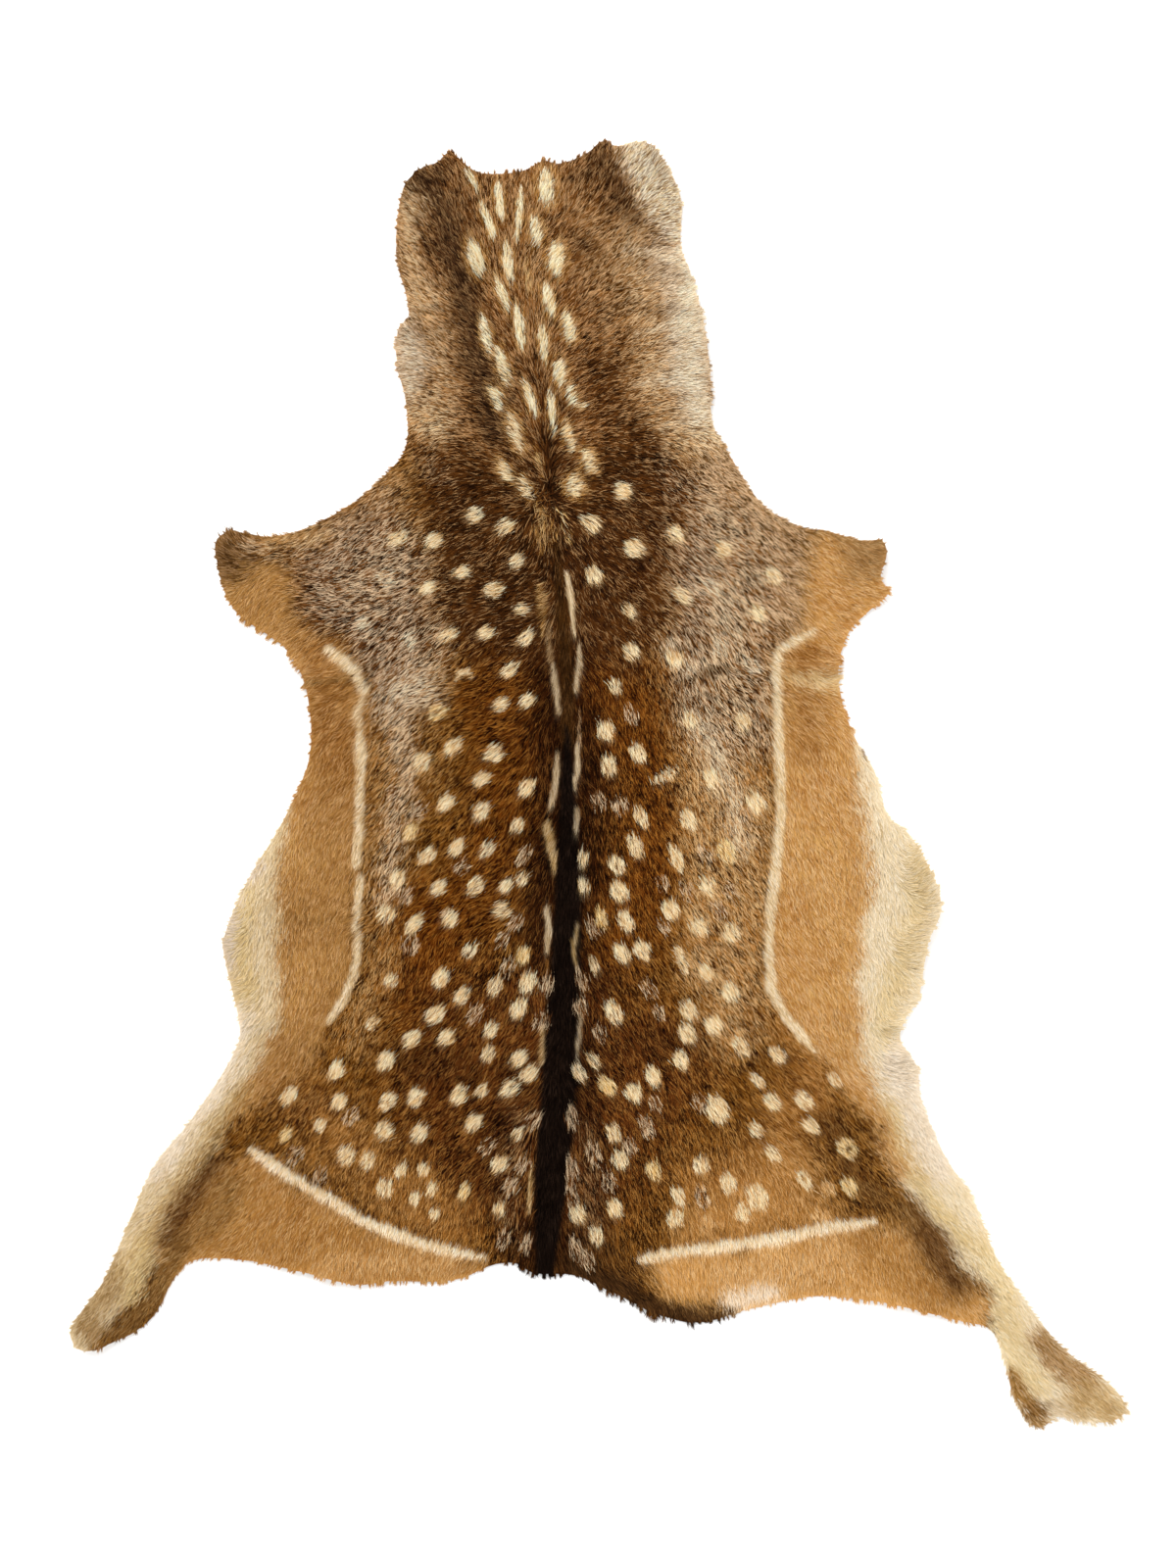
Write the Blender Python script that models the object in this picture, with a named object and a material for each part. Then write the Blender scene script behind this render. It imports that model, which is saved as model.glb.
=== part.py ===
"""A spotted deer hide, tanned with the hair on and laid out flat, hair side up.

It is one piece: the neck points to +Y, the hind legs to -Y, and +X is the right of the
animal's back as seen from above. The flesh side lies on the plane Z = 0, except where the
skin dried into creases, ripples and curled edges. The solid holds the skin and the coat
of hair that lies on it, and it reaches as far as the hair does.
"""

from collections import namedtuple

import bpy
import numpy as np
from mathutils import Vector
from mathutils.geometry import delaunay_2d_cdt

METRES_PER_MM = 0.001

# Driving sizes, in millimetres
SKIN = 2.0  # tanned leather
COAT = 6.0  # hair lying on it
EDGE = 2.5  # skin and hair together at the very edge
EDGE_ROUND = 15.0  # the coat thins to EDGE over this width
MANE_RISE = 3.5  # the longer hair along the spine stands this much higher
MANE_SPREAD = 16.0

# How finely the sheet is faceted, in millimetres
RIM_STEP = 9.0
FIELD_STEP = 20.0
RIM_ROWS = (5.0, 15.0)  # rows of points this far inside the rim round it off
ROW_KEPT = 0.9  # a row's point stays where it is this share of its depth from the rim
FIELD_GAP = 8.0  # the field's points start this far inside the last row
CURVE_POINTS = 16  # between two turns of the rim, before it is spaced evenly
SAME_PLACE = 1e-5

# The rim, clockwise from the left corner of the neck. Each stretch lists the places where
# the edge turns, as (across, along) in millimetres from the middle of the hide.
Stretch = namedtuple("Stretch", "name turns")
RIM = (
    Stretch("neck end", (
        (-136, 579), (-112, 563), (-71, 563), (-50, 573), (-37, 570),
        (-7, 581), (4, 590), (16, 585), (33, 590), (48, 587), (69, 557))),
    Stretch("right of neck", (
        (77, 533), (76, 496), (86, 466), (96, 430), (103, 381), (106, 330))),
    Stretch("right shoulder", (
        (124, 298), (141, 270), (155, 254), (187, 237), (208, 234), (244, 224))),
    Stretch("right foreleg", (
        (260, 225), (265, 215), (259, 187), (267, 178), (247, 158), (232, 143))),
    Stretch("right flank", (
        (221, 113), (222, 86), (235, 45), (254, 13), (266, -28), (283, -42),
        (310, -91), (314, -115), (303, -144), (293, -199), (283, -212), (277, -233))),
    Stretch("right haunch", (
        (293, -259), (296, -286), (319, -341), (343, -378), (365, -433), (391, -472))),
    Stretch("right hind leg", (
        (426, -516), (473, -553), (483, -572), (473, -581), (445, -583), (423, -578),
        (406, -590), (386, -572), (373, -528), (361, -500))),
    Stretch("right of rump", (
        (331, -491), (259, -474), (202, -469), (139, -481), (93, -493), (57, -486))),
    Stretch("tail", ((11, -464), (-21, -450), (-61, -447), (-74, -439), (-95, -440))),
    Stretch("left of rump", (
        (-130, -454), (-194, -455), (-220, -458), (-272, -446), (-334, -435), (-374, -437))),
    Stretch("left hind leg", (
        (-388, -452), (-411, -491), (-447, -512), (-473, -518), (-483, -502), (-453, -454))),
    Stretch("left haunch", (
        (-427, -394), (-406, -348), (-373, -307), (-335, -248), (-328, -229))),
    Stretch("left flank", (
        (-340, -165), (-343, -146), (-323, -91), (-289, -33), (-266, 20), (-263, 50),
        (-270, 98), (-289, 128))),
    Stretch("left foreleg", (
        (-328, 155), (-341, 174), (-349, 206), (-350, 223), (-340, 232), (-300, 228))),
    Stretch("left shoulder", ((-268, 236), (-222, 261), (-187, 293), (-176, 310))),
    Stretch("left of neck", (
        (-176, 350), (-185, 390), (-182, 421), (-174, 429), (-176, 451), (-184, 478),
        (-183, 526), (-176, 551), (-163, 564), (-146, 571))),
)

# Where the skin leaves the ground, in millimetres. A ridge is highest along its line. A
# crease touches down on its line and stands highest at its spread on either side.
Fold = namedtuple("Fold", "name kind start end height spread")
FOLDS = (
    Fold("left lobe of the neck", "ridge", (-133, 575), (-122, 478), 10, 15),
    Fold("right lobe of the neck", "ridge", (6, 584), (42, 506), 12, 16),
    Fold("upper ripple of the neck", "ridge", (44, 486), (84, 474), 7, 9),
    Fold("lower ripple of the neck", "ridge", (56, 446), (98, 436), 6, 9),
    Fold("tear in the neck's edge", "crease", (-184, 427), (-142, 433), 5, 9),
    Fold("left shoulder crease", "crease", (-282, 94), (-214, 88), 6, 12),
    Fold("right shoulder crease", "crease", (84, 92), (228, 99), 6, 12),
    Fold("left flank crease", "crease", (-300, -118), (-84, -122), 4, 12),
    Fold("right haunch crease", "crease", (284, -233), (222, -224), 6, 13),
    Fold("left haunch crease", "crease", (-336, -232), (-290, -226), 5, 12),
    Fold("left hind leg", "ridge", (-462, -500), (-366, -336), 8, 17),
    Fold("right hind leg", "ridge", (438, -560), (334, -404), 8, 18),
    Fold("left shoulder swell", "ridge", (-196, 226), (-120, 168), 5, 36),
    Fold("right shoulder swell", "ridge", (64, 196), (150, 148), 5, 34),
    Fold("rump swell", "ridge", (96, -430), (214, -408), 5, 30),
)

# Places where the very edge curls up: its height there, and how far the lift runs along
# the edge and in from it.
LIES_FLAT = 0.2  # what would stand off by less than this lies on the ground
Curl = namedtuple("Curl", "name place height run band")
CURLS = (
    Curl("left corner of the neck", (-170, 556), 12, 34, 36),
    Curl("right corner of the neck", (58, 574), 11, 34, 36),
    Curl("right side of the neck", (106, 376), 7, 42, 34),
    Curl("right foreleg", (268, 196), 11, 34, 46),
    Curl("left foreleg", (-352, 206), 11, 34, 46),
    Curl("right belly flap", (316, -104), 14, 62, 48),
    Curl("left belly flap", (-344, -150), 13, 60, 46),
    Curl("right hock", (356, -410), 8, 42, 34),
    Curl("left hock", (-404, -352), 8, 42, 34),
    Curl("right hind foot", (480, -570), 10, 36, 40),
    Curl("left hind foot", (-482, -508), 10, 36, 40),
    Curl("right of the rump", (290, -484), 8, 46, 30),
    Curl("left of the rump", (-252, -452), 8, 52, 30),
)

# The line of the mane, from the withers to the tail, as (across, along)
MANE = ((-34, 181), (-28, 60), (-27, -90), (-31, -210), (-39, -320), (-48, -430))

# The coat as seen from a step away
COAT_COLOUR = (0.27, 0.13, 0.05, 1.0)
COAT_ROUGHNESS = 0.75
SHARP_EDGE = 50.0  # degrees: the shading breaks at the rim's lower edge


def clear_scene():
    """Removes every object, so that the file holds the hide alone."""
    for obj in list(bpy.data.objects):
        bpy.data.objects.remove(obj)


def smooth_rim(step):
    """The rim as a closed curve through its turns, one point every step millimetres.

    Between two turns the curve is a Catmull-Rom cubic whose speed follows the square root
    of the distance, so that it makes no loops where the turns crowd together.
    """
    turns = np.array([turn for stretch in RIM for turn in stretch.turns], float)
    before, after, beyond = (np.roll(turns, shift, axis=0) for shift in (1, -1, -2))
    gap_in, gap, gap_out = (
        np.sqrt(np.linalg.norm(b - a, axis=1))[:, None]
        for a, b in ((before, turns), (turns, after), (after, beyond))
    )
    leave = (turns - before) / gap_in - (after - before) / (gap_in + gap) + (after - turns) / gap
    arrive = (after - turns) / gap - (beyond - turns) / (gap + gap_out) + (beyond - after) / gap_out
    t = np.linspace(0, 1, CURVE_POINTS, endpoint=False)[:, None, None]
    curve = (
        (2 * t**3 - 3 * t**2 + 1) * turns
        + (t**3 - 2 * t**2 + t) * gap * leave
        + (3 * t**2 - 2 * t**3) * after
        + (t**3 - t**2) * gap * arrive
    )
    dense = curve.transpose(1, 0, 2).reshape(-1, 2)
    closed = np.vstack([dense, dense[:1]])
    travelled = np.r_[0, np.cumsum(np.linalg.norm(np.diff(closed, axis=0), axis=1))]
    count = int(round(travelled[-1] / step))
    wanted = np.linspace(0, travelled[-1], count, endpoint=False)
    return np.column_stack([np.interp(wanted, travelled, closed[:, k]) for k in (0, 1)])


def distance_to_line(points, start, end):
    """Each point's distance from the straight line between two places."""
    along = np.subtract(end, start)
    share = np.clip((points - start) @ along / (along @ along), 0, 1)
    return np.linalg.norm(points - start - share[:, None] * along, axis=1)


def distance_to_rim(points, rim):
    """Each point's distance from the nearest stretch of the rim."""
    ends = np.roll(rim, -1, axis=0)
    nearest = np.full(len(points), np.inf)
    for start, end in zip(rim, ends, strict=True):
        nearest = np.minimum(nearest, distance_to_line(points, start, end))
    return nearest


def inside(points, rim):
    """True where a ray from the point towards +X crosses the rim an odd number of times."""
    start, end = rim, np.roll(rim, -1, axis=0)
    x, y = points[:, :1], points[:, 1:]
    spans = (start[:, 1] > y) != (end[:, 1] > y)
    rise = np.where(end[:, 1] == start[:, 1], 1.0, end[:, 1] - start[:, 1])
    crossing = start[:, 0] + (y - start[:, 1]) * (end[:, 0] - start[:, 0]) / rise
    return (spans & (crossing > x)).sum(axis=1) % 2 == 1


def field_points(rim):
    """Points inside the rim: rows that follow it, then a triangular grid."""
    tangent = np.roll(rim, -1, axis=0) - np.roll(rim, 1, axis=0)
    inward = np.column_stack([tangent[:, 1], -tangent[:, 0]])
    inward /= np.linalg.norm(inward, axis=1)[:, None]
    rows = []
    for order, depth in enumerate(RIM_ROWS):
        row = (rim + inward * depth)[:: order + 1]
        fits = distance_to_rim(row, rim) > depth * ROW_KEPT
        rows.append(row[fits & inside(row, rim)])
    low, high = rim.min(axis=0), rim.max(axis=0)
    across, along = np.meshgrid(
        np.arange(low[0], high[0], FIELD_STEP),
        np.arange(low[1], high[1], FIELD_STEP * np.sqrt(3) / 2),
    )
    across[1::2] += FIELD_STEP / 2
    grid = np.column_stack([across.ravel(), along.ravel()])
    grid = grid[inside(grid, rim)]
    return np.vstack(rows + [grid[distance_to_rim(grid, rim) > RIM_ROWS[-1] + FIELD_GAP]])


def height_of_skin(points, to_rim):
    """How far the flesh side stands off the ground, from the tables of folds and curls."""
    height = np.zeros(len(points))
    for fold in FOLDS:
        off = (distance_to_line(points, fold.start, fold.end) / fold.spread) ** 2
        swell = np.exp(-off) if fold.kind == "ridge" else off * np.exp(1 - off)
        height = np.maximum(height, fold.height * swell)
    for curl in CURLS:
        run = np.linalg.norm(points - curl.place, axis=1) / curl.run
        lift = np.clip(1 - to_rim / curl.band, 0, 1) ** 2
        height = height + curl.height * lift * np.exp(-(run**2))
    return np.maximum(height - LIES_FLAT, 0.0)


def thickness_of_hide(points, to_rim):
    """Skin and coat: rounded off towards the rim, and raised along the mane."""
    depth = np.clip(to_rim / EDGE_ROUND, 0, 1)
    body = EDGE + (SKIN + COAT - EDGE) * np.sqrt(1 - (1 - depth) ** 2)
    to_mane = np.min([distance_to_line(points, a, b) for a, b in zip(MANE, MANE[1:])], axis=0)
    return body + depth * MANE_RISE * np.exp(-((to_mane / MANE_SPREAD) ** 2))


def hide_mesh():
    """The closed solid: a triangulated sheet, its copy above it, and a wall at the rim."""
    rim = smooth_rim(RIM_STEP)
    rim -= (rim.min(axis=0) + rim.max(axis=0)) / 2
    flat = np.vstack([rim, field_points(rim)])
    sheet, _, faces, *_ = delaunay_2d_cdt(
        [Vector(p) for p in flat], [], [list(range(len(rim)))], 1, SAME_PLACE
    )
    points = np.array([tuple(p) for p in sheet])
    faces = np.array(faces)
    a, b, c = (points[faces[:, k]] for k in range(3))
    clockwise = np.cross(b - a, c - a) < 0
    faces[clockwise] = faces[clockwise][:, ::-1]

    to_rim = distance_to_rim(points, rim)
    under = height_of_skin(points, to_rim)
    over = under + thickness_of_hide(points, to_rim)
    count = len(points)
    vertices = np.vstack([np.column_stack([points, under]), np.column_stack([points, over])])

    sides = np.vstack([faces[:, [0, 1]], faces[:, [1, 2]], faces[:, [2, 0]]])
    paired = {(int(p), int(q)) for p, q in sides}
    edge = np.array([(p, q) for p, q in sorted(paired) if (q, p) not in paired])
    p, q = edge.T
    wall = np.vstack([np.column_stack([p, q, q + count]), np.column_stack([p, q + count, p + count])])
    triangles = np.vstack([faces[:, ::-1], faces + count, wall])

    mesh = bpy.data.meshes.new("hide")
    mesh.from_pydata((vertices * METRES_PER_MM).tolist(), [], triangles.tolist())
    mesh.shade_smooth()
    mesh.set_sharp_from_angle(angle=np.radians(SHARP_EDGE))
    return mesh


def coat_material():
    """Short brown deer hair, dull and slightly warm."""
    material = bpy.data.materials.new("deer_hair")
    material.use_nodes = True
    shader = material.node_tree.nodes["Principled BSDF"]
    shader.inputs["Base Color"].default_value = COAT_COLOUR
    shader.inputs["Roughness"].default_value = COAT_ROUGHNESS
    shader.inputs["Metallic"].default_value = 0.0
    return material


def make_hide():
    """The whole hide, as one object."""
    hide = bpy.data.objects.new("hide", hide_mesh())
    hide.data.materials.append(coat_material())
    bpy.context.scene.collection.objects.link(hide)
    return hide


clear_scene()
make_hide()
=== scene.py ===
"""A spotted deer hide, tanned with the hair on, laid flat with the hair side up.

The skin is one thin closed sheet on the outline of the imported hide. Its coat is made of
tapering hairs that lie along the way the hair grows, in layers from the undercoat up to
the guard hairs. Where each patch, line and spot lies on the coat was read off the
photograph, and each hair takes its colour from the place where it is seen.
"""

from collections import namedtuple

import bpy
import numpy as np
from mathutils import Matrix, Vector
from mathutils.geometry import delaunay_2d_cdt


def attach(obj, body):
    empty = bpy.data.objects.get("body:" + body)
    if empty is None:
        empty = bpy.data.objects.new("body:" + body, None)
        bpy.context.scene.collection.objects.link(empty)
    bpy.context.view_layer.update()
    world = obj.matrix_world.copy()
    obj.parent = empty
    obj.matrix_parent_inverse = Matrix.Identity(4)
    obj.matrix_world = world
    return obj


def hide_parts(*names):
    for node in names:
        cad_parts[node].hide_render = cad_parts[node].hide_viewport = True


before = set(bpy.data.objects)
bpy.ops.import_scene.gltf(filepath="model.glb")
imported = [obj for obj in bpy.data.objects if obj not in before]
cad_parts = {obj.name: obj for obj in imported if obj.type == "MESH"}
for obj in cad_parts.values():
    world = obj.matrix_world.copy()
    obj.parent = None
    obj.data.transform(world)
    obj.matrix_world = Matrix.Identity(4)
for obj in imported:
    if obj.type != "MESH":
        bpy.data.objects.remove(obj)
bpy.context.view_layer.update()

METRES_PER_MM = 0.001
MM_PER_PIXEL = 0.9  # the photograph is taken straight down, so one scale holds all over
MIDDLE_PIXEL = (610.0, 801.0)  # of the photograph: the middle of the hide
FRAME_MIDDLE = (600, 800)  # and the middle of the frame
SEED = 20417

# The rim and the skin, in millimetres
CURVE_POINTS = 16  # of the curve between two turns of the rim
RIM_STEP = 3.0  # from one point of the rim to the next
RIM_SMOOTHING = 4  # points on either side are averaged in: the skin is cut smoother than the hair
SKIN = 1.6  # how thick the skin is
SKIN_FIELD = 7.0  # how finely it is faceted
FIELD_INSET = 4.0  # how much further in than its edge its inner points start
SKIN_INSET = 1.3  # hair hides the skin's edge by this much
SKIN_INSET_OUTWARD = 3.2  # and by this much more where it grows outwards over the edge
SAME_PLACE = 1e-5  # points of the skin closer than this are one

# The chart that keeps what the hair reads off the hide, in millimetres
CHART_STEP = 3.0  # of its grid
CHART_MARGIN = 12  # past the hide on every side
NO_LENGTH = 1e-6  # a shorter direction counts as this long

# The seeds of what goes by chance, and the side of the lattice that smooth noises repeat over
TUFT_NOISE, SWIRL_NOISE, PATCH_NOISE, BROAD_NOISE, SPIKE_NOISE, SPIKE_SIZE_NOISE = 31, 33, 41, 42, 51, 52
WANDER_NOISE, RAGGED_NOISE = SEED, SEED + 4
TUFT_SEED, STRAND_SEED, SPOT_SEED = SEED + 7, SEED + 8, SEED + 9
LATTICE = 128

# Tufts and strands of hair, in millimetres and degrees
TUFT = 2.8  # how wide a tuft is, whose hairs turn, lift and are shaded together
TUFT_DRIFT = (2.0, 9.0)  # how far the tufts' borders wander, and over what distance
TILE = 97  # tufts along each side of the square that their chances repeat over
STRAND = 0.75  # how wide a strand is, whose hairs share their colour
STRANDS = 9  # kept for each tuft
CLUMP = 0.07  # how far a hair's tip is drawn to its tuft's middle, as a share of the way
TUFT_TURN = 3.0  # how far a tuft turns aside
SWIRL = (9.0, 30.0)  # how far the whole coat turns aside, and over what distance
WHORL = (557, 508)  # the pixel where the coat parts in all directions
WHORL_REACH = 12.0  # this close to it hairs lie every way
WHORL_SPREAD = 105.0  # by so much
ROLL = 15.0  # how far a hair is rolled about its own length
LIFT = 0.12  # how much a tuft's rise varies, and a hair's within it, as a share
LENGTHS = (0.75, 1.2)  # the shortest and longest hair of a place, as shares of its length
WIDTHS = (0.7, 1.25)  # and the thinnest and widest, as shares of their layer's width
BEDDED = 0.3  # roots stand so deep in the skin, tips so far above it at least, and hair off the ground

# Hair at the rim, in millimetres
EDGE_ROOTS = (0.8, 6.0)  # how far inside the skin's edge its roots start, and their band's width
EDGE_WAY = (0.75, 0.85)  # its way is so much the coat's own and so much straight outwards
EDGE_LENGTH = 9.0  # of the shortest
LEAST_HAIR = 0.1  # the share of a hair that is kept where it crosses the rim
NO_WAY = 1e-3  # a shorter way across the rim counts as this
SPIKE = 3.1  # how far apart the spikes are, more or less
SPIKE_BAND = 0.4  # a spike stands where its noise is this close to zero
SPIKE_SIZE = (0.9, 0.8, 0.3, 1.6)  # the mean, swing, least and most of the spikes' height
BETWEEN_SPIKES = 0.12  # how far the hair stands out between them, as a share
SPIKE_OUT = 1.6  # and at a spike's tip, above that
SPIKE_TAPER = 1.7  # the power that draws a spike out to a point
ENDS_VARY = (0.8, 1.05)  # from one hair's end to the next

# How the colours are laid, in millimetres unless it says a share
WANDER = ((5.0, 26.0), (2.0, 7.0))  # how far the washes' borders wander, and over what distance
RAGGED = (1.1, 5.0)  # the same for the lines, streaks and spots
LINE_REACH = 14.0  # a line's colour lies no further than this from it
STREAK_PULL = 0.5  # a streak's ends are drawn in by so much of its half width
STREAK_EDGE = ("streak edge", 1.9, 0.6)  # its edge's coat, and its width and clearness as shares
SPOT_SIZES = (0.88, 1.12)  # the smallest and largest spot of a row, as shares of its widths
SPOT_CLEAR = (0.84, 1.0)  # and the faintest and clearest
SPOT_AXIS = 0.1  # the least length of the line that a spot lies around
MARK_END = 1.32  # a mark has faded out so many half widths from its middle
MARK_FADE = 0.55  # over so many
MARK_REACH = 1.6  # and is looked for within this many
SCATTER = 4.0  # how far a hair's colour may come from, so that patches run into each other
READ_AT = (0.4, 0.85)  # the shares of a hair's length where its shaft and tip read the coat
STRAND_SHARE = 0.75  # of the hairs take their strand's tip
STRAY_HAIR, STRAY_STRAND, STRAY_TUFT = 0.5, 2.6, 0.12  # how far each strays in shade
STRAY_PATCH = (0.4, 15.0)  # how far a patch does, and how wide it is
STRAY_BROAD = (0.12, 55.0)  # the same for a broad patch, whatever the coat's contrast
TIP_LIGHT = 1.04  # a tip's shade, as a share of the shaft's
ROOT_SHADE = 0.45  # painted shade: a hair's colour at its root, as a share of its own, for the shade deep in the coat
FULL_CONTRAST = 0.45  # a coat of this contrast or more has the full painted shade at its roots and in its deeper layers
SKIN_SHADE = 0.55  # painted shade: the skin's hair side between the hairs, as a share of the coat's colour

# The suede's blotches and nap, and the floor's grain, half side and level, in millimetres.
# The first three come 14, 700 and 6 to a metre.
BLOTCH, NAP = 1000 / 14, 1000 / 700
FLOOR_GRAIN, FLOOR_HALF, FLOOR_LEVEL = 1000 / 6, 6000.0, -0.6
ROOM_LIGHT = 0.98  # of the pale room, as the world's strength
CAMERA_HEIGHT = 4.0  # in metres

# The rim, folds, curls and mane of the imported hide, in millimetres from its middle
Stretch = namedtuple("Stretch", "name turns")
RIM = (
    Stretch("neck end", (
        (-136, 579), (-112, 563), (-71, 563), (-50, 573), (-37, 570),
        (-7, 581), (4, 590), (16, 585), (33, 590), (48, 587), (69, 557))),
    Stretch("right of neck", (
        (77, 533), (76, 496), (86, 466), (96, 430), (103, 381), (106, 330))),
    Stretch("right shoulder", (
        (124, 298), (141, 270), (155, 254), (187, 237), (208, 234), (244, 224))),
    Stretch("right foreleg", (
        (260, 225), (265, 215), (259, 187), (267, 178), (247, 158), (232, 143))),
    Stretch("right flank", (
        (221, 113), (222, 86), (235, 45), (254, 13), (266, -28), (283, -42),
        (310, -91), (314, -115), (303, -144), (293, -199), (283, -212), (277, -233))),
    Stretch("right haunch", (
        (293, -259), (296, -286), (319, -341), (343, -378), (365, -433), (391, -472))),
    Stretch("right hind leg", (
        (426, -516), (473, -553), (483, -572), (473, -581), (445, -583), (423, -578),
        (406, -590), (386, -572), (373, -528), (361, -500))),
    Stretch("right of rump", (
        (331, -491), (259, -474), (202, -469), (139, -481), (93, -493), (57, -486))),
    Stretch("tail", ((11, -464), (-21, -450), (-61, -447), (-74, -439), (-95, -440))),
    Stretch("left of rump", (
        (-130, -454), (-194, -455), (-220, -458), (-272, -446), (-334, -435), (-374, -437))),
    Stretch("left hind leg", (
        (-388, -452), (-411, -491), (-447, -512), (-473, -518), (-483, -502), (-453, -454))),
    Stretch("left haunch", (
        (-427, -394), (-406, -348), (-373, -307), (-335, -248), (-328, -229))),
    Stretch("left flank", (
        (-340, -165), (-343, -146), (-323, -91), (-289, -33), (-266, 20), (-263, 50),
        (-270, 98), (-289, 128))),
    Stretch("left foreleg", (
        (-328, 155), (-341, 174), (-349, 206), (-350, 223), (-340, 232), (-300, 228))),
    Stretch("left shoulder", ((-268, 236), (-222, 261), (-187, 293), (-176, 310))),
    Stretch("left of neck", (
        (-176, 350), (-185, 390), (-182, 421), (-174, 429), (-176, 451), (-184, 478),
        (-183, 526), (-176, 551), (-163, 564), (-146, 571))),
)
LIES_FLAT = 0.2  # what would stand off by less than this lies on the ground
Fold = namedtuple("Fold", "name kind start end height spread")
FOLDS = (
    Fold("left lobe of the neck", "ridge", (-133, 575), (-122, 478), 10, 15),
    Fold("right lobe of the neck", "ridge", (6, 584), (42, 506), 12, 16),
    Fold("upper ripple of the neck", "ridge", (44, 486), (84, 474), 7, 9),
    Fold("lower ripple of the neck", "ridge", (56, 446), (98, 436), 6, 9),
    Fold("tear in the neck's edge", "crease", (-184, 427), (-142, 433), 5, 9),
    Fold("left shoulder crease", "crease", (-282, 94), (-214, 88), 6, 12),
    Fold("right shoulder crease", "crease", (84, 92), (228, 99), 6, 12),
    Fold("left flank crease", "crease", (-300, -118), (-84, -122), 4, 12),
    Fold("right haunch crease", "crease", (284, -233), (222, -224), 6, 13),
    Fold("left haunch crease", "crease", (-336, -232), (-290, -226), 5, 12),
    Fold("left hind leg", "ridge", (-462, -500), (-366, -336), 8, 17),
    Fold("right hind leg", "ridge", (438, -560), (334, -404), 8, 18),
    Fold("left shoulder swell", "ridge", (-196, 226), (-120, 168), 5, 36),
    Fold("right shoulder swell", "ridge", (64, 196), (150, 148), 5, 34),
    Fold("rump swell", "ridge", (96, -430), (214, -408), 5, 30),
)
Curl = namedtuple("Curl", "name place height run band")
CURLS = (
    Curl("left corner of the neck", (-170, 556), 12, 34, 36),
    Curl("right corner of the neck", (58, 574), 11, 34, 36),
    Curl("right side of the neck", (106, 376), 7, 42, 34),
    Curl("right foreleg", (268, 196), 11, 34, 46),
    Curl("left foreleg", (-352, 206), 11, 34, 46),
    Curl("right belly flap", (316, -104), 14, 62, 48),
    Curl("left belly flap", (-344, -150), 13, 60, 46),
    Curl("right hock", (356, -410), 8, 42, 34),
    Curl("left hock", (-404, -352), 8, 42, 34),
    Curl("right hind foot", (480, -570), 10, 36, 40),
    Curl("left hind foot", (-482, -508), 10, 36, 40),
    Curl("right of the rump", (290, -484), 8, 46, 30),
    Curl("left of the rump", (-252, -452), 8, 52, 30),
)

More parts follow.
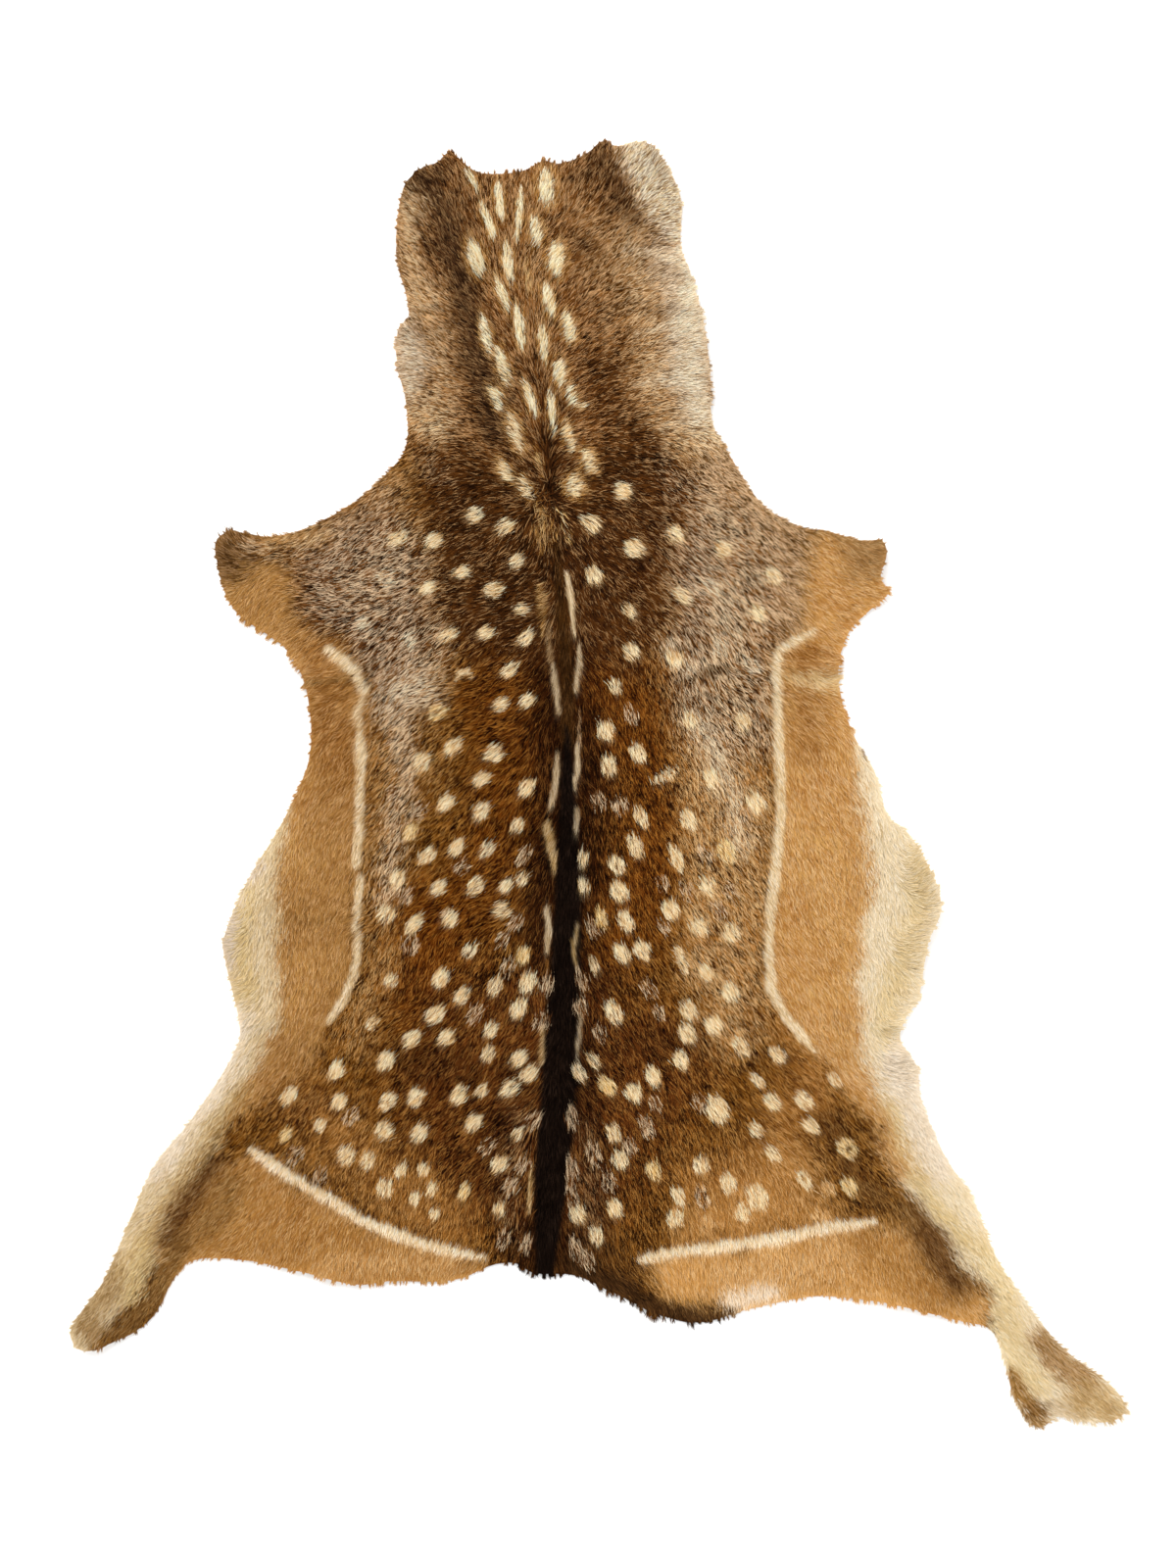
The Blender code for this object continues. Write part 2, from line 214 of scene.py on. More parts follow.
# The colours of the coat, as sRGB hex. A hair's shaft lies between dark and light, and a
# share of the hairs, tipped, ends in the colour tip. Contrast is how far one hair's shade
# strays from the next one's.
Coat = namedtuple("Coat", "dark light tip tipped contrast")
COATS = {
    "chestnut": Coat("170700", "865218", "BE8540", 0.22, 0.66),
    "russet": Coat("180500", "743C0C", "AA6A26", 0.22, 0.64),
    "umber": Coat("080100", "391A06", "744A22", 0.12, 0.56),
    "deep brown": Coat("120400", "703C14", "A87034", 0.18, 0.64),
    "back tan": Coat("3C1E08", "C28644", "F0C890", 0.40, 0.66),
    "stripe black": Coat("040100", "1C110B", "30221A", 0.08, 0.40),
    "stripe brown": Coat("1A0C02", "4E3010", "6A4826", 0.12, 0.36),
    "withers": Coat("1A0A02", "613814", "BA8E5E", 0.10, 0.46),
    "agouti": Coat("1A0B03", "7A4C26", "E8C8A2", 0.32, 0.84),
    "agouti pale": Coat("1E0E05", "A26E3C", "F6D5A8", 0.40, 0.86),
    "silver": Coat("180B05", "98683A", "F8D8AE", 0.46, 0.90),
    "bright silver": Coat("3C2210", "D2A470", "FFEAC8", 0.54, 0.82),
    "grey tan": Coat("543818", "B48A5C", "E8C296", 0.42, 0.62),
    "neck brown": Coat("241002", "8C5828", "CE9C68", 0.30, 0.58),
    "neck dark": Coat("140802", "5E3F24", "9E784E", 0.20, 0.58),
    "neck warm": Coat("422406", "AA7642", "E0B480", 0.32, 0.54),
    "neck tan": Coat("6E4620", "EAB97E", "FDE0B2", 0.42, 0.56),
    "neck pale": Coat("B0906A", "FCE3C0", "FFEDD2", 0.45, 0.46),
    "rim pale": Coat("C8AA84", "FFEDCC", "FFF3DB", 0.45, 0.38),
    "leg tip": Coat("4C3012", "88643C", "AE8660", 0.25, 0.38),
    "leg tip pale": Coat("8A6234", "B28756", "C49E6C", 0.25, 0.34),
    "ochre": Coat("8C5C2A", "BC8E50", "D0A26A", 0.25, 0.28),
    "bright ochre": Coat("A66E34", "D6A864", "E6BE88", 0.25, 0.26),
    "orange brown": Coat("6A3A0E", "B48046", "CE9C62", 0.20, 0.34),
    "haunch tan": Coat("94602A", "BE8C4A", "D6AA70", 0.25, 0.25),
    "light tan": Coat("BE8A4C", "E6BA80", "EECC98", 0.25, 0.23),
    "belly cream": Coat("BC9E70", "E4D0AA", "ECDABA", 0.30, 0.22),
    "bright cream": Coat("D2BC94", "EEDCBC", "F4E8D0", 0.30, 0.19),
    "golden cream": Coat("C0A064", "DEC48C", "EAD4A2", 0.30, 0.20),
    "pinkish cream": Coat("D4C0A4", "F0E0CA", "F6EAD8", 0.30, 0.19),
    "pink edge": Coat("BCA896", "E0D0C2", "EADCD0", 0.30, 0.19),
    "leg gold": Coat("8F6832", "CBA86E", "D8BC88", 0.25, 0.28),
    "leg dark": Coat("3A1E06", "724C28", "8A643C", 0.20, 0.36),
    "leg brown": Coat("62401A", "986E3C", "B08852", 0.20, 0.34),
    "leg grey": Coat("7E5C30", "B4905A", "C8A878", 0.25, 0.30),
    "foot tan": Coat("80592C", "B98F5A", "CCA678", 0.25, 0.34),
    "foot pale": Coat("A07A44", "D4B27A", "E2C696", 0.25, 0.28),
    "foot brown": Coat("7C5422", "B8884A", "CA9E66", 0.20, 0.34),
    "rump dark": Coat("160A02", "523418", "5A3C20", 0.20, 0.42),
    "hip gold": Coat("603610", "B07636", "D29C5A", 0.25, 0.44),
    "hip orange": Coat("A26C30", "CE9652", "E0B074", 0.25, 0.34),
    "right haunch": Coat("B07A3A", "DCA862", "E8BE86", 0.25, 0.25),
    "leg cream": Coat("CCB07C", "EED8A8", "F4E4BE", 0.30, 0.20),
    "faint silver": Coat("221003", "88572E", "F6D6AC", 0.42, 0.72),
    "lobe": Coat("86603A", "FADEB0", "FFF0D6", 0.46, 0.80),
    "streak tan": Coat("6A4218", "C09050", "E0B87C", 0.40, 0.50),
    "streak cream": Coat("D4AE72", "FFECC0", "FFF5D6", 0.50, 0.28),
    "streak edge": Coat("7A4C1C", "C4904E", "E0B478", 0.35, 0.40),
    "haunch line": Coat("DAB680", "FAE6C2", "FFF2DC", 0.40, 0.22),
    # a painted highlight for the rump's rim
    "rump highlight": Coat("E4CAA6", "F8E6CE", "FCF0DE", 0.30, 0.20),
    "cream": Coat("C09258", "FBDCA8", "FFEBC4", 0.50, 0.32),
    "orange cream": Coat("CC9C54", "F8D89C", "FCE4B4", 0.40, 0.32),
    "line cream": Coat("C7A26E", "F0DCB4", "F8E8CA", 0.40, 0.26),
}

# Broad patches of the coat, painted one over another in this order, in pixels of the
# photograph. Each is a stroke along its path, as wide as twice the given width, or, where
# that is 0, the area inside its path. The edge is how far it fades.
Wash = namedtuple("Wash", "name coat width edge strength path")
WASHES = [Wash(*row) for row in (
    ("spine", "umber", 48, 50, 1.0,
     ((574, 600), (578, 700), (580, 850), (577, 1000), (570, 1120), (560, 1290))),
    ("right of the spine", "russet", 40, 60, 0.80, ((640, 700), (668, 800), (660, 900), (640, 960))),
    ("left of the spine", "russet", 34, 54, 0.80,
     ((500, 690), (516, 790), (500, 880), (462, 960), (440, 1010))),
    ("left loin", "russet", 32, 50, 0.95, ((432, 930), (434, 980), (428, 1020))),
    ("loin", "deep brown", 0, 70, 0.85,
     ((430, 1000), (560, 980), (700, 1040), (730, 1090), (690, 1160), (640, 1250), (480, 1250),
      (425, 1180), (392, 1110))),
    ("left of the loin", "umber", 12, 40, 0.50, ((392, 1080), (470, 1095))),
    ("right of the loin", "umber", 12, 40, 0.50, ((660, 1070), (720, 1060))),
    ("left of the back", "back tan", 16, 38, 0.55, ((386, 740), (386, 880), (388, 990), (360, 1062))),
    ("right of the back", "back tan", 34, 50, 0.80, ((762, 720), (766, 860), (758, 960), (750, 1050))),
    ("right ribs, light", "back tan", 18, 40, 0.86, ((712, 740), (718, 850), (716, 1000))),
    ("left ribs, light", "back tan", 8, 40, 0.40, ((448, 730), (444, 800))),
    ("left of the tail", "umber", 14, 32, 0.50, ((522, 1090), (512, 1150), (504, 1220))),
    ("right of the tail", "umber", 12, 30, 0.78, ((598, 1050), (598, 1120), (606, 1170), (612, 1240))),
    ("left of the stripe, ticked", "faint silver", 10, 24, 0.42,
     ((528, 1140), (524, 1200), (520, 1262))),
    ("right of the stripe, ticked", "faint silver", 8, 24, 0.42,
     ((598, 1150), (602, 1200), (606, 1266))),
    ("left hip gold", "hip gold", 28, 54, 0.85, ((290, 1104), (340, 1150), (400, 1200), (455, 1250))),
    ("right hip gold", "hip gold", 28, 54, 0.92,
     ((814, 1046), (838, 1092), (806, 1142), (780, 1186), (716, 1206))),
    ("withers", "withers", 0, 50, 0.95,
     ((430, 440), (690, 440), (712, 500), (690, 560), (684, 640), (650, 690), (590, 660), (530, 680),
      (474, 672), (446, 640), (440, 580), (430, 520))),
    ("left shoulder", "agouti", 0, 60, 1.0,
     ((392, 500), (414, 530), (436, 570), (444, 640), (446, 704), (410, 752), (372, 735), (368, 690),
      (330, 655), (296, 640), (290, 560), (330, 530))),
    ("right shoulder", "agouti", 0, 56, 1.0,
     ((716, 470), (740, 462), (790, 520), (824, 560), (826, 640), (792, 665), (790, 760), (728, 772),
      (694, 740), (680, 690), (686, 620), (684, 560), (700, 510))),
    ("right shoulder, top", "agouti", 14, 34, 0.60, ((668, 458), (694, 496))),
    ("left outer shoulder", "agouti pale", 22, 44, 0.36, ((392, 540), (378, 590), (402, 650))),
    ("right outer shoulder", "agouti pale", 38, 50, 0.86,
     ((752, 520), (760, 580), (754, 650), (750, 720))),
    ("left armpit", "grey tan", 15, 32, 0.42, ((410, 486), (366, 528), (322, 556))),
    ("right armpit", "grey tan", 26, 34, 0.90, ((734, 466), (778, 516), (814, 556), (818, 630))),
    ("left foreleg silver", "silver", 17, 34, 0.62, ((350, 602), (392, 602), (408, 576))),
    ("left slope", "agouti", 10, 26, 0.55, ((428, 460), (448, 486))),
    ("left blade silver", "silver", 9, 22, 0.85, ((444, 640), (446, 676))),
    ("left foreleg shade", "neck brown", 15, 30, 0.66, ((298, 594), (308, 634))),
    ("left shoulder shade", "agouti", 9, 26, 0.72, ((372, 672), (412, 648))),
    ("left shoulder silver", "bright silver", 17, 36, 0.85, ((394, 716), (424, 694), (436, 704))),
    ("right shoulder silver", "bright silver", 10, 38, 0.48, ((716, 590), (742, 620), (742, 664))),
    ("right blade silver", "bright silver", 11, 22, 0.90, ((688, 664), (710, 688))),
    ("right ribs silver", "bright silver", 11, 28, 0.85,
     ((708, 738), (728, 768), (748, 820), (756, 860))),
    ("left ribs silver", "silver", 14, 28, 0.94, ((408, 745), (412, 800), (402, 860), (392, 912))),
    ("neck", "neck brown", 0, 50, 1.0,
     ((380, 120), (380, 440), (470, 460), (575, 470), (690, 446), (760, 430), (760, 120))),
    ("nape", "withers", 18, 34, 0.85, ((556, 410), (562, 450), (564, 500))),
    ("right of the neck", "neck warm", 0, 44, 0.90,
     ((575, 185), (640, 235), (690, 290), (690, 440), (660, 430), (630, 360), (600, 290))),
    ("middle of the neck", "neck warm", 12, 34, 0.60, ((535, 190), (545, 260), (552, 330))),
    ("right side of the neck", "neck tan", 15, 38, 0.74,
     ((650, 238), (660, 320), (674, 400), (678, 432))),
    ("right blotch of the neck", "neck dark", 9, 20, 0.60, ((590, 246), (606, 250))),
    ("right of the nape", "withers", 20, 40, 0.72, ((616, 376), (626, 420), (656, 462))),
    ("left band of the neck", "neck dark", 15, 26, 0.98,
     ((428, 184), (452, 210), (466, 270), (476, 330), (494, 390), (506, 440))),
    ("left corner of the neck", "neck dark", 9, 18, 0.66, ((420, 186), (450, 172))),
    ("left edge of the neck", "neck tan", 13, 24, 0.92,
     ((420, 212), (413, 240), (418, 275), (428, 316))),
    ("left fold of the neck", "neck tan", 8, 24, 0.60, ((440, 290), (446, 340))),
    ("left middle of the neck", "neck tan", 14, 34, 0.70, ((442, 350), (450, 400), (440, 436))),
    ("left pale edge", "neck pale", 13, 22, 0.97, ((414, 340), (420, 365), (416, 396))),
    ("left low edge", "neck tan", 13, 26, 0.92, ((418, 420), (452, 436))),
    ("right dark fold", "neck dark", 12, 20, 0.62, ((612, 156), (626, 178), (634, 205), (648, 226))),
    ("top of the neck, right", "neck dark", 5, 12, 0.70, ((582, 178), (602, 174))),
    ("right upper edge", "lobe", 0, 20, 0.95,
     ((630, 120), (700, 120), (730, 200), (722, 300), (700, 300), (680, 240), (652, 212), (640, 184))),
    ("right middle", "neck pale", 12, 32, 0.82, ((682, 252), (694, 330), (690, 384))),
    ("right pale edge", "rim pale", 18, 30, 0.95, ((712, 296), (712, 350), (712, 415), (722, 436))),
    ("right low edge", "neck tan", 14, 26, 0.72, ((730, 446), (694, 450))),
    ("left foreleg", "ochre", 0, 20, 1.0,
     ((200, 585), (290, 572), (296, 610), (312, 645), (330, 662), (330, 700), (280, 720), (200, 660))),
    ("left foreleg tip", "leg tip", 0, 22, 0.85,
     ((200, 520), (270, 545), (264, 580), (240, 590), (200, 596))),
    ("left foreleg, middle", "agouti pale", 10, 18, 0.85, ((254, 556), (276, 566))),
    ("left foreleg top", "light tan", 7, 20, 0.75, ((276, 550), (330, 544))),
    ("right foreleg", "bright ochre", 0, 22, 1.0,
     ((826, 560), (840, 540), (930, 600), (880, 660), (835, 700), (800, 690), (824, 640))),
    ("right foreleg tip", "leg tip pale", 0, 26, 0.95,
     ((838, 530), (930, 530), (930, 592), (870, 590))),
    ("left flank", "ochre", 0, 14, 1.0,
     ((340, 660), (368, 690), (369, 800), (367, 900), (364, 960), (352, 1015), (335, 1050), (320, 1085),
      (285, 1115), (240, 1150), (150, 1150), (180, 900), (250, 760), (290, 650))),
    ("left flank light", "bright ochre", 12, 40, 0.55, ((300, 800), (302, 880))),
    ("left flank light, low", "bright ochre", 10, 40, 0.55, ((312, 990), (300, 1030))),
    ("left side", "orange brown", 24, 34, 0.80, ((322, 672), (340, 720), (345, 770))),
    ("left armpit edge", "light tan", 4, 12, 0.50, ((298, 668), (314, 690), (318, 706))),
    ("right flank", "bright ochre", 0, 14, 1.0,
     ((830, 648), (798, 665), (792, 760), (792, 880), (784, 950), (784, 1000), (800, 1036), (824, 1068),
      (848, 1098), (884, 1136), (980, 1150), (980, 800), (900, 700), (860, 640))),
    ("right side", "orange brown", 18, 34, 0.70, ((820, 672), (822, 760))),
    ("left hip", "hip orange", 8, 50, 0.50, ((300, 1180), (350, 1214), (430, 1250))),
    ("left hip shade", "deep brown", 8, 26, 0.45, ((296, 1140), (330, 1128))),
    ("left haunch", "haunch tan", 0, 14, 1.0,
     ((200, 1190), (258, 1178), (290, 1203), (330, 1226), (370, 1249), (410, 1266), (450, 1279),
      (496, 1290), (470, 1340), (180, 1340), (150, 1270))),
    ("left haunch edge", "light tan", 9, 28, 0.70, ((330, 1294), (400, 1290), (460, 1294))),
    ("right hip", "hip orange", 0, 50, 0.85,
     ((745, 1200), (800, 1165), (838, 1185), (842, 1225), (870, 1250), (800, 1262), (690, 1272),
      (690, 1245))),
    ("above the right haunch's line", "hip orange", 7, 26, 0.62,
     ((690, 1262), (756, 1250), (820, 1236))),
    ("right haunch", "right haunch", 0, 14, 1.0,
     ((655, 1290), (700, 1279), (760, 1271), (820, 1262), (895, 1250), (935, 1232), (1010, 1330),
      (1000, 1360), (740, 1370), (690, 1345))),
    ("right haunch light", "light tan", 16, 30, 0.60, ((740, 1300), (800, 1296), (850, 1284))),
    ("right of the leg", "haunch tan", 18, 34, 1.0, ((884, 1266), (950, 1322))),
    ("rump fringe", "rump dark", 15, 15, 0.97,
     ((590, 1296), (622, 1311), (650, 1328), (690, 1346), (738, 1351))),
    ("rump", "rump dark", 12, 34, 0.50, ((600, 1270), (640, 1300))),
    # a painted highlight along the rump's rim
    ("rump highlight edge", "rump highlight", 9, 13, 1.0, ((746, 1329), (766, 1325), (790, 1321))),
    ("left belly", "belly cream", 0, 12, 1.0,
     ((300, 760), (289, 850), (284, 930), (285, 1000), (282, 1050), (262, 1086), (246, 1112),
      (226, 1162), (197, 1200), (175, 1240), (154, 1290), (122, 1340), (60, 1420), (40, 1200),
      (180, 800))),
    ("left belly gold", "golden cream", 9, 14, 0.85, ((252, 908), (244, 960), (252, 1010))),
    ("left belly rim", "pink edge", 4.5, 7, 0.90,
     ((266, 882), (248, 910), (236, 940), (229, 968), (232, 984))),
    ("left haunch edge, pale", "pinkish cream", 17, 14, 0.92,
     ((240, 1046), (226, 1090), (186, 1140), (154, 1190))),
    ("left leg band", "leg gold", 7, 18, 0.85, ((246, 1116), (206, 1178), (166, 1236), (144, 1284))),
    ("left leg grey", "leg grey", 10, 14, 0.75, ((122, 1296), (104, 1326), (86, 1354))),
    ("left leg cream", "golden cream", 7, 10, 0.88, ((152, 1262), (136, 1304), (128, 1326))),
    ("left hock", "leg dark", 8, 22, 0.97, ((222, 1182), (202, 1208), (186, 1240), (174, 1266))),
    ("left hock fade", "leg brown", 14, 26, 0.70, ((236, 1210), (206, 1258))),
    ("left shin", "leg brown", 11, 13, 0.97, ((186, 1270), (170, 1298), (148, 1336), (124, 1368))),
    ("left foot", "leg brown", 8, 14, 0.60, ((90, 1356), (108, 1364))),
    ("right belly", "bright cream", 0, 11, 1.0,
     ((872, 745), (882, 830), (887, 900), (880, 960), (875, 1020), (881, 1070), (890, 1110),
      (904, 1160), (917, 1205), (941, 1240), (966, 1265), (987, 1290), (1007, 1320), (1014, 1350),
      (1008, 1390), (1030, 1480), (1220, 1500), (1220, 1280), (1010, 1000), (1010, 820), (900, 720))),
    ("right belly gold", "golden cream", 12, 18, 0.55,
     ((936, 880), (938, 920), (926, 965), (904, 1030), (902, 1052))),
    ("right haunch edge", "pinkish cream", 20, 14, 0.90, ((916, 1085), (940, 1135), (958, 1190))),
    ("right haunch gold", "golden cream", 8, 14, 0.80,
     ((908, 1130), (930, 1190), (956, 1228), (985, 1262))),
    ("right leg cream", "leg cream", 12, 13, 0.92,
     ((1002, 1268), (1020, 1312), (1026, 1350), (1038, 1384), (1064, 1416))),
    ("right thigh", "bright ochre", 12, 24, 0.85, ((880, 1110), (900, 1150), (922, 1196))),
    ("right knee", "leg dark", 8, 26, 0.64, ((850, 1142), (858, 1170), (868, 1196), (882, 1214))),
    ("right hock", "leg dark", 15, 28, 0.92, ((934, 1246), (956, 1280), (976, 1308))),
    ("right shin", "foot tan", 14, 14, 0.92, ((1064, 1366), (1084, 1392), (1106, 1412))),
    ("right instep", "foot tan", 3, 12, 0.60, ((1078, 1434), (1098, 1446))),
    ("right heel", "foot brown", 10, 8, 0.97, ((1030, 1408), (1046, 1432), (1060, 1450))),
    ("right heel's end", "leg dark", 5, 10, 0.72, ((1044, 1448), (1068, 1440))),
    ("right hock fade", "leg brown", 10, 24, 0.60, ((884, 1214), (932, 1246))),
    ("right armpit gap", "leg cream", 5, 18, 1.0, ((812, 694), (862, 693))),
    ("right foot", "foot pale", 14, 14, 0.90, ((1104, 1426), (1134, 1438))),
)]

# Lines along the coat, in pixels of the photograph: each turn is (across, down, width)
Line = namedtuple("Line", "name coat edge strength path")
LINES = [Line(*row) for row in (
    ("dorsal stripe, top", "stripe brown", 8, 0.90,
     ((568, 545, 5), (571, 600, 10), (575, 650, 14), (579, 700, 15), (579, 760, 14))),
    ("dorsal stripe", "stripe black", 7, 0.97,
     ((578, 744, 3), (579, 784, 13), (580, 850, 22), (580, 920, 27), (577, 1000, 32), (573, 1060, 38),
      (569, 1140, 39), (562, 1200, 34), (559, 1248, 28), (556, 1300, 18))),
    ("left of the stripe, top", "streak tan", 3, 0.80, ((549, 598, 5), (552, 622, 8), (553, 648, 5))),
    ("left of the stripe, second", "cream", 4, 0.45, ((558, 640, 4), (562, 676, 6))),
    ("left of the stripe, third", "line cream", 4, 0.75, ((563, 680, 4), (567, 702, 7), (570, 728, 5))),
    ("left of the stripe, fourth", "line cream", 4, 0.75,
     ((569, 772, 5), (567, 800, 8), (562, 826, 6))),
    ("left of the stripe, fifth", "orange cream", 3, 0.72,
     ((557, 843, 9), (562, 862, 10), (565, 890, 5))),
    ("left of the stripe, sixth", "line cream", 3, 0.8, ((557, 928, 5), (560, 950, 8), (557, 972, 5))),
    ("left of the stripe, seventh", "orange cream", 3, 0.65, ((552, 1052, 4), (552, 1085, 5))),
    ("left of the stripe, last", "orange cream", 3, 0.7, ((541, 1195, 3), (539, 1236, 5))),
    ("right of the stripe, top", "line cream", 3, 0.85, ((579, 588, 5), (582, 608, 7), (587, 650, 4))),
    ("right of the stripe, second", "line cream", 3, 0.8,
     ((592, 660, 4), (591, 682, 7), (588, 706, 4))),
    ("right of the stripe, third", "silver", 3, 0.6, ((592, 728, 4), (591, 762, 6))),
    ("right of the stripe, fourth", "line cream", 3, 0.8,
     ((589, 762, 5), (589, 786, 7), (586, 806, 4))),
    ("right of the stripe, fifth", "line cream", 3, 0.7, ((589, 828, 6), (588, 850, 6))),
    ("right of the stripe, sixth", "orange cream", 4, 0.7,
     ((590, 945, 3), (585, 968, 5), (588, 988, 3))),
    ("right of the stripe, seventh", "line cream", 3, 0.65,
     ((593, 1036, 4), (590, 1065, 5), (588, 1082, 3))),
    ("left flank line", "line cream", 5, 0.92,
     ((334, 664, 11), (348, 674, 12), (362, 688, 12), (370, 706, 10))),
    ("left flank line, second", "line cream", 6, 0.80, ((369, 714, 5), (363, 730, 9), (366, 744, 6))),
    ("left flank line, third", "line cream", 5, 0.92,
     ((366, 752, 9), (368, 770, 12), (367, 800, 9), (366, 850, 9), (363, 884, 9))),
    ("left flank line, fourth", "line cream", 5, 0.90,
     ((367, 896, 7), (365, 925, 9), (362, 940, 6), (365, 970, 8), (361, 995, 9), (350, 1022, 9),
      (336, 1042, 8))),
    ("right flank line", "line cream", 4.5, 0.97,
     ((832, 645, 6), (812, 655, 9), (797, 665, 10), (793, 682, 10), (794, 700, 10), (795, 750, 9),
      (797, 800, 10), (797, 830, 10), (793, 880, 11), (787, 930, 10), (785, 970, 9), (787, 1010, 11),
      (800, 1035, 10), (820, 1060, 9), (833, 1074, 4))),
    ("left haunch line", "haunch line", 2.5, 0.97,
     ((256, 1174, 8), (270, 1184, 12), (290, 1198, 13), (316, 1214, 9), (334, 1224, 13),
      (370, 1246, 10), (398, 1258, 13), (430, 1270, 9), (452, 1276, 11), (496, 1285, 4))),
    ("right haunch line", "haunch line", 2.5, 0.97,
     ((650, 1287, 4), (664, 1284, 10), (700, 1277, 9), (730, 1274, 13), (760, 1269, 11),
      (790, 1265, 14), (820, 1259, 10), (846, 1253, 13), (876, 1250, 9), (894, 1247, 5))),
    ("left ribs crescent", "cream", 3, 0.95,
     ((465, 695, 3), (468, 688, 6), (476, 686, 6), (481, 692, 3))),
    # The neck ripple lines are painted light and shade: the pale ones are painted highlights and the dark
    # ones painted shade, along the ripples of the neck
    ("neck ripple, top", "rim pale", 13, 0.58,
     ((640, 254, 5), (664, 258, 8), (690, 266, 8), (712, 290, 6))),
    ("neck ripple, dark", "neck dark", 14, 0.30, ((636, 300, 4), (666, 318, 8), (690, 314, 2))),
    ("neck ripple, second", "rim pale", 10, 0.50, ((650, 340, 3), (690, 330, 8), (716, 322, 8))),
    ("neck ripple, second dark", "neck brown", 10, 0.30, ((650, 356, 4), (684, 352, 5), (700, 346, 2))),
    ("neck ripple, third", "rim pale", 12, 0.55, ((650, 392, 4), (690, 386, 8), (720, 376, 8))),
    ("neck ripple, third dark", "neck brown", 10, 0.50, ((656, 410, 4), (686, 406, 6), (702, 402, 2))),
    ("neck ripple, last", "rim pale", 12, 0.50, ((676, 436, 4), (704, 430, 8), (722, 424, 6))),
    ("neck ripple, left", "neck tan", 12, 0.50, ((420, 398, 4), (446, 408, 6), (462, 420, 3))),
    ("parting", "umber", 12, 0.60, ((560, 430, 3), (565, 470, 10), (567, 505, 12), (566, 532, 8))),
    # painted shade in the slit and the tears of the neck's skin
    ("left neck slit", "neck dark", 2.5, 0.95, ((423, 220, 2), (430, 240, 2.5), (440, 272, 2.5))),
    ("left throat tear", "neck dark", 2.5, 0.85, ((406, 326, 3), (428, 325, 2))),
    ("right neck tear", "neck brown", 2.5, 0.7, ((672, 248, 2), (688, 251, 3), (694, 248, 2))),
    # painted shade along the creases of the shoulders and the left flank
    ("left shoulder crease", "leg brown", 8, 0.6, ((306, 698, 4), (340, 696, 6), (358, 690, 4))),
    ("left flank crease", "leg brown", 9, 0.5, ((286, 940, 5), (355, 938, 4))),
    ("right shoulder crease", "neck dark", 12, 0.50, ((698, 698, 8), (718, 690, 12), (742, 682, 5))),
    ("right armpit shade", "orange brown", 7, 0.6, ((800, 670, 5), (840, 664, 7), (862, 676, 5))),
    ("right flank nick", "leg dark", 1.5, 0.95, ((880, 764, 1.5), (882, 770, 2.5), (884, 776, 1.5))),
    ("right belly scratch", "leg gold", 1.5, 0.8, ((898, 842, 1.5), (901, 857, 1.5))),
)]

# Streaks of the neck, in pixels of the photograph: where each starts and ends, and its
# width. Clear says how much of a streak's hair is pale.
Streak = namedtuple("Streak", "coat start end width clear")
STREAKS = [Streak(coat, *row) for coat, rows in (
    ("streak cream",
     (((476, 176), (487, 191), 7, 0.90), ((507, 187), (512, 221), 8, 0.95),
      ((492, 209), (503, 240), 8, 0.90), ((532, 192), (528, 242), 6, 0.80),
      ((557, 178), (559, 202), 15, 0.97), ((545, 222), (549, 246), 11, 0.92),
      ((482, 250), (488, 277), 14, 0.95), ((517, 250), (520, 284), 9, 0.85))),
    ("streak tan", (((537, 266), (541, 296), 7, 0.50),)),
    ("streak cream",
     (((568, 251), (569, 276), 14, 0.97), ((507, 283), (517, 315), 8, 0.88),
      ((557, 292), (564, 319), 10, 0.92), ((527, 312), (532, 352), 9, 0.90),
      ((578, 320), (584, 345), 10, 0.88), ((552, 333), (557, 366), 8, 0.88),
      ((492, 324), (498, 360), 8, 0.85), ((508, 357), (516, 388), 11, 0.78),
      ((571, 369), (573, 389), 11, 0.92), ((582, 393), (588, 412), 8, 0.72),
      ((588, 412), (599, 414), 5, 0.60), ((535, 391), (546, 420), 8, 0.88),
      ((501, 395), (510, 417), 9, 0.85), ((561, 400), (566, 437), 7, 0.88))),
    ("cream", (((519, 424), (529, 457), 11, 0.85), ((578, 432), (585, 457), 8, 0.88))),
    ("streak tan", (((545, 458), (551, 480), 6, 0.45),)),
    ("cream",
     (((510, 471), (519, 490), 9, 0.88), ((531, 488), (538, 506), 9, 0.85),
      ((598, 462), (605, 478), 11, 0.92), ((587, 488), (589, 502), 14, 0.92))),
    ("streak tan", (((550, 515), (555, 548), 8, 0.55), ((557, 540), (553, 556), 13, 0.40))),
    ("orange cream", (((573, 520), (581, 555), 6, 0.20),)),
) for row in rows]

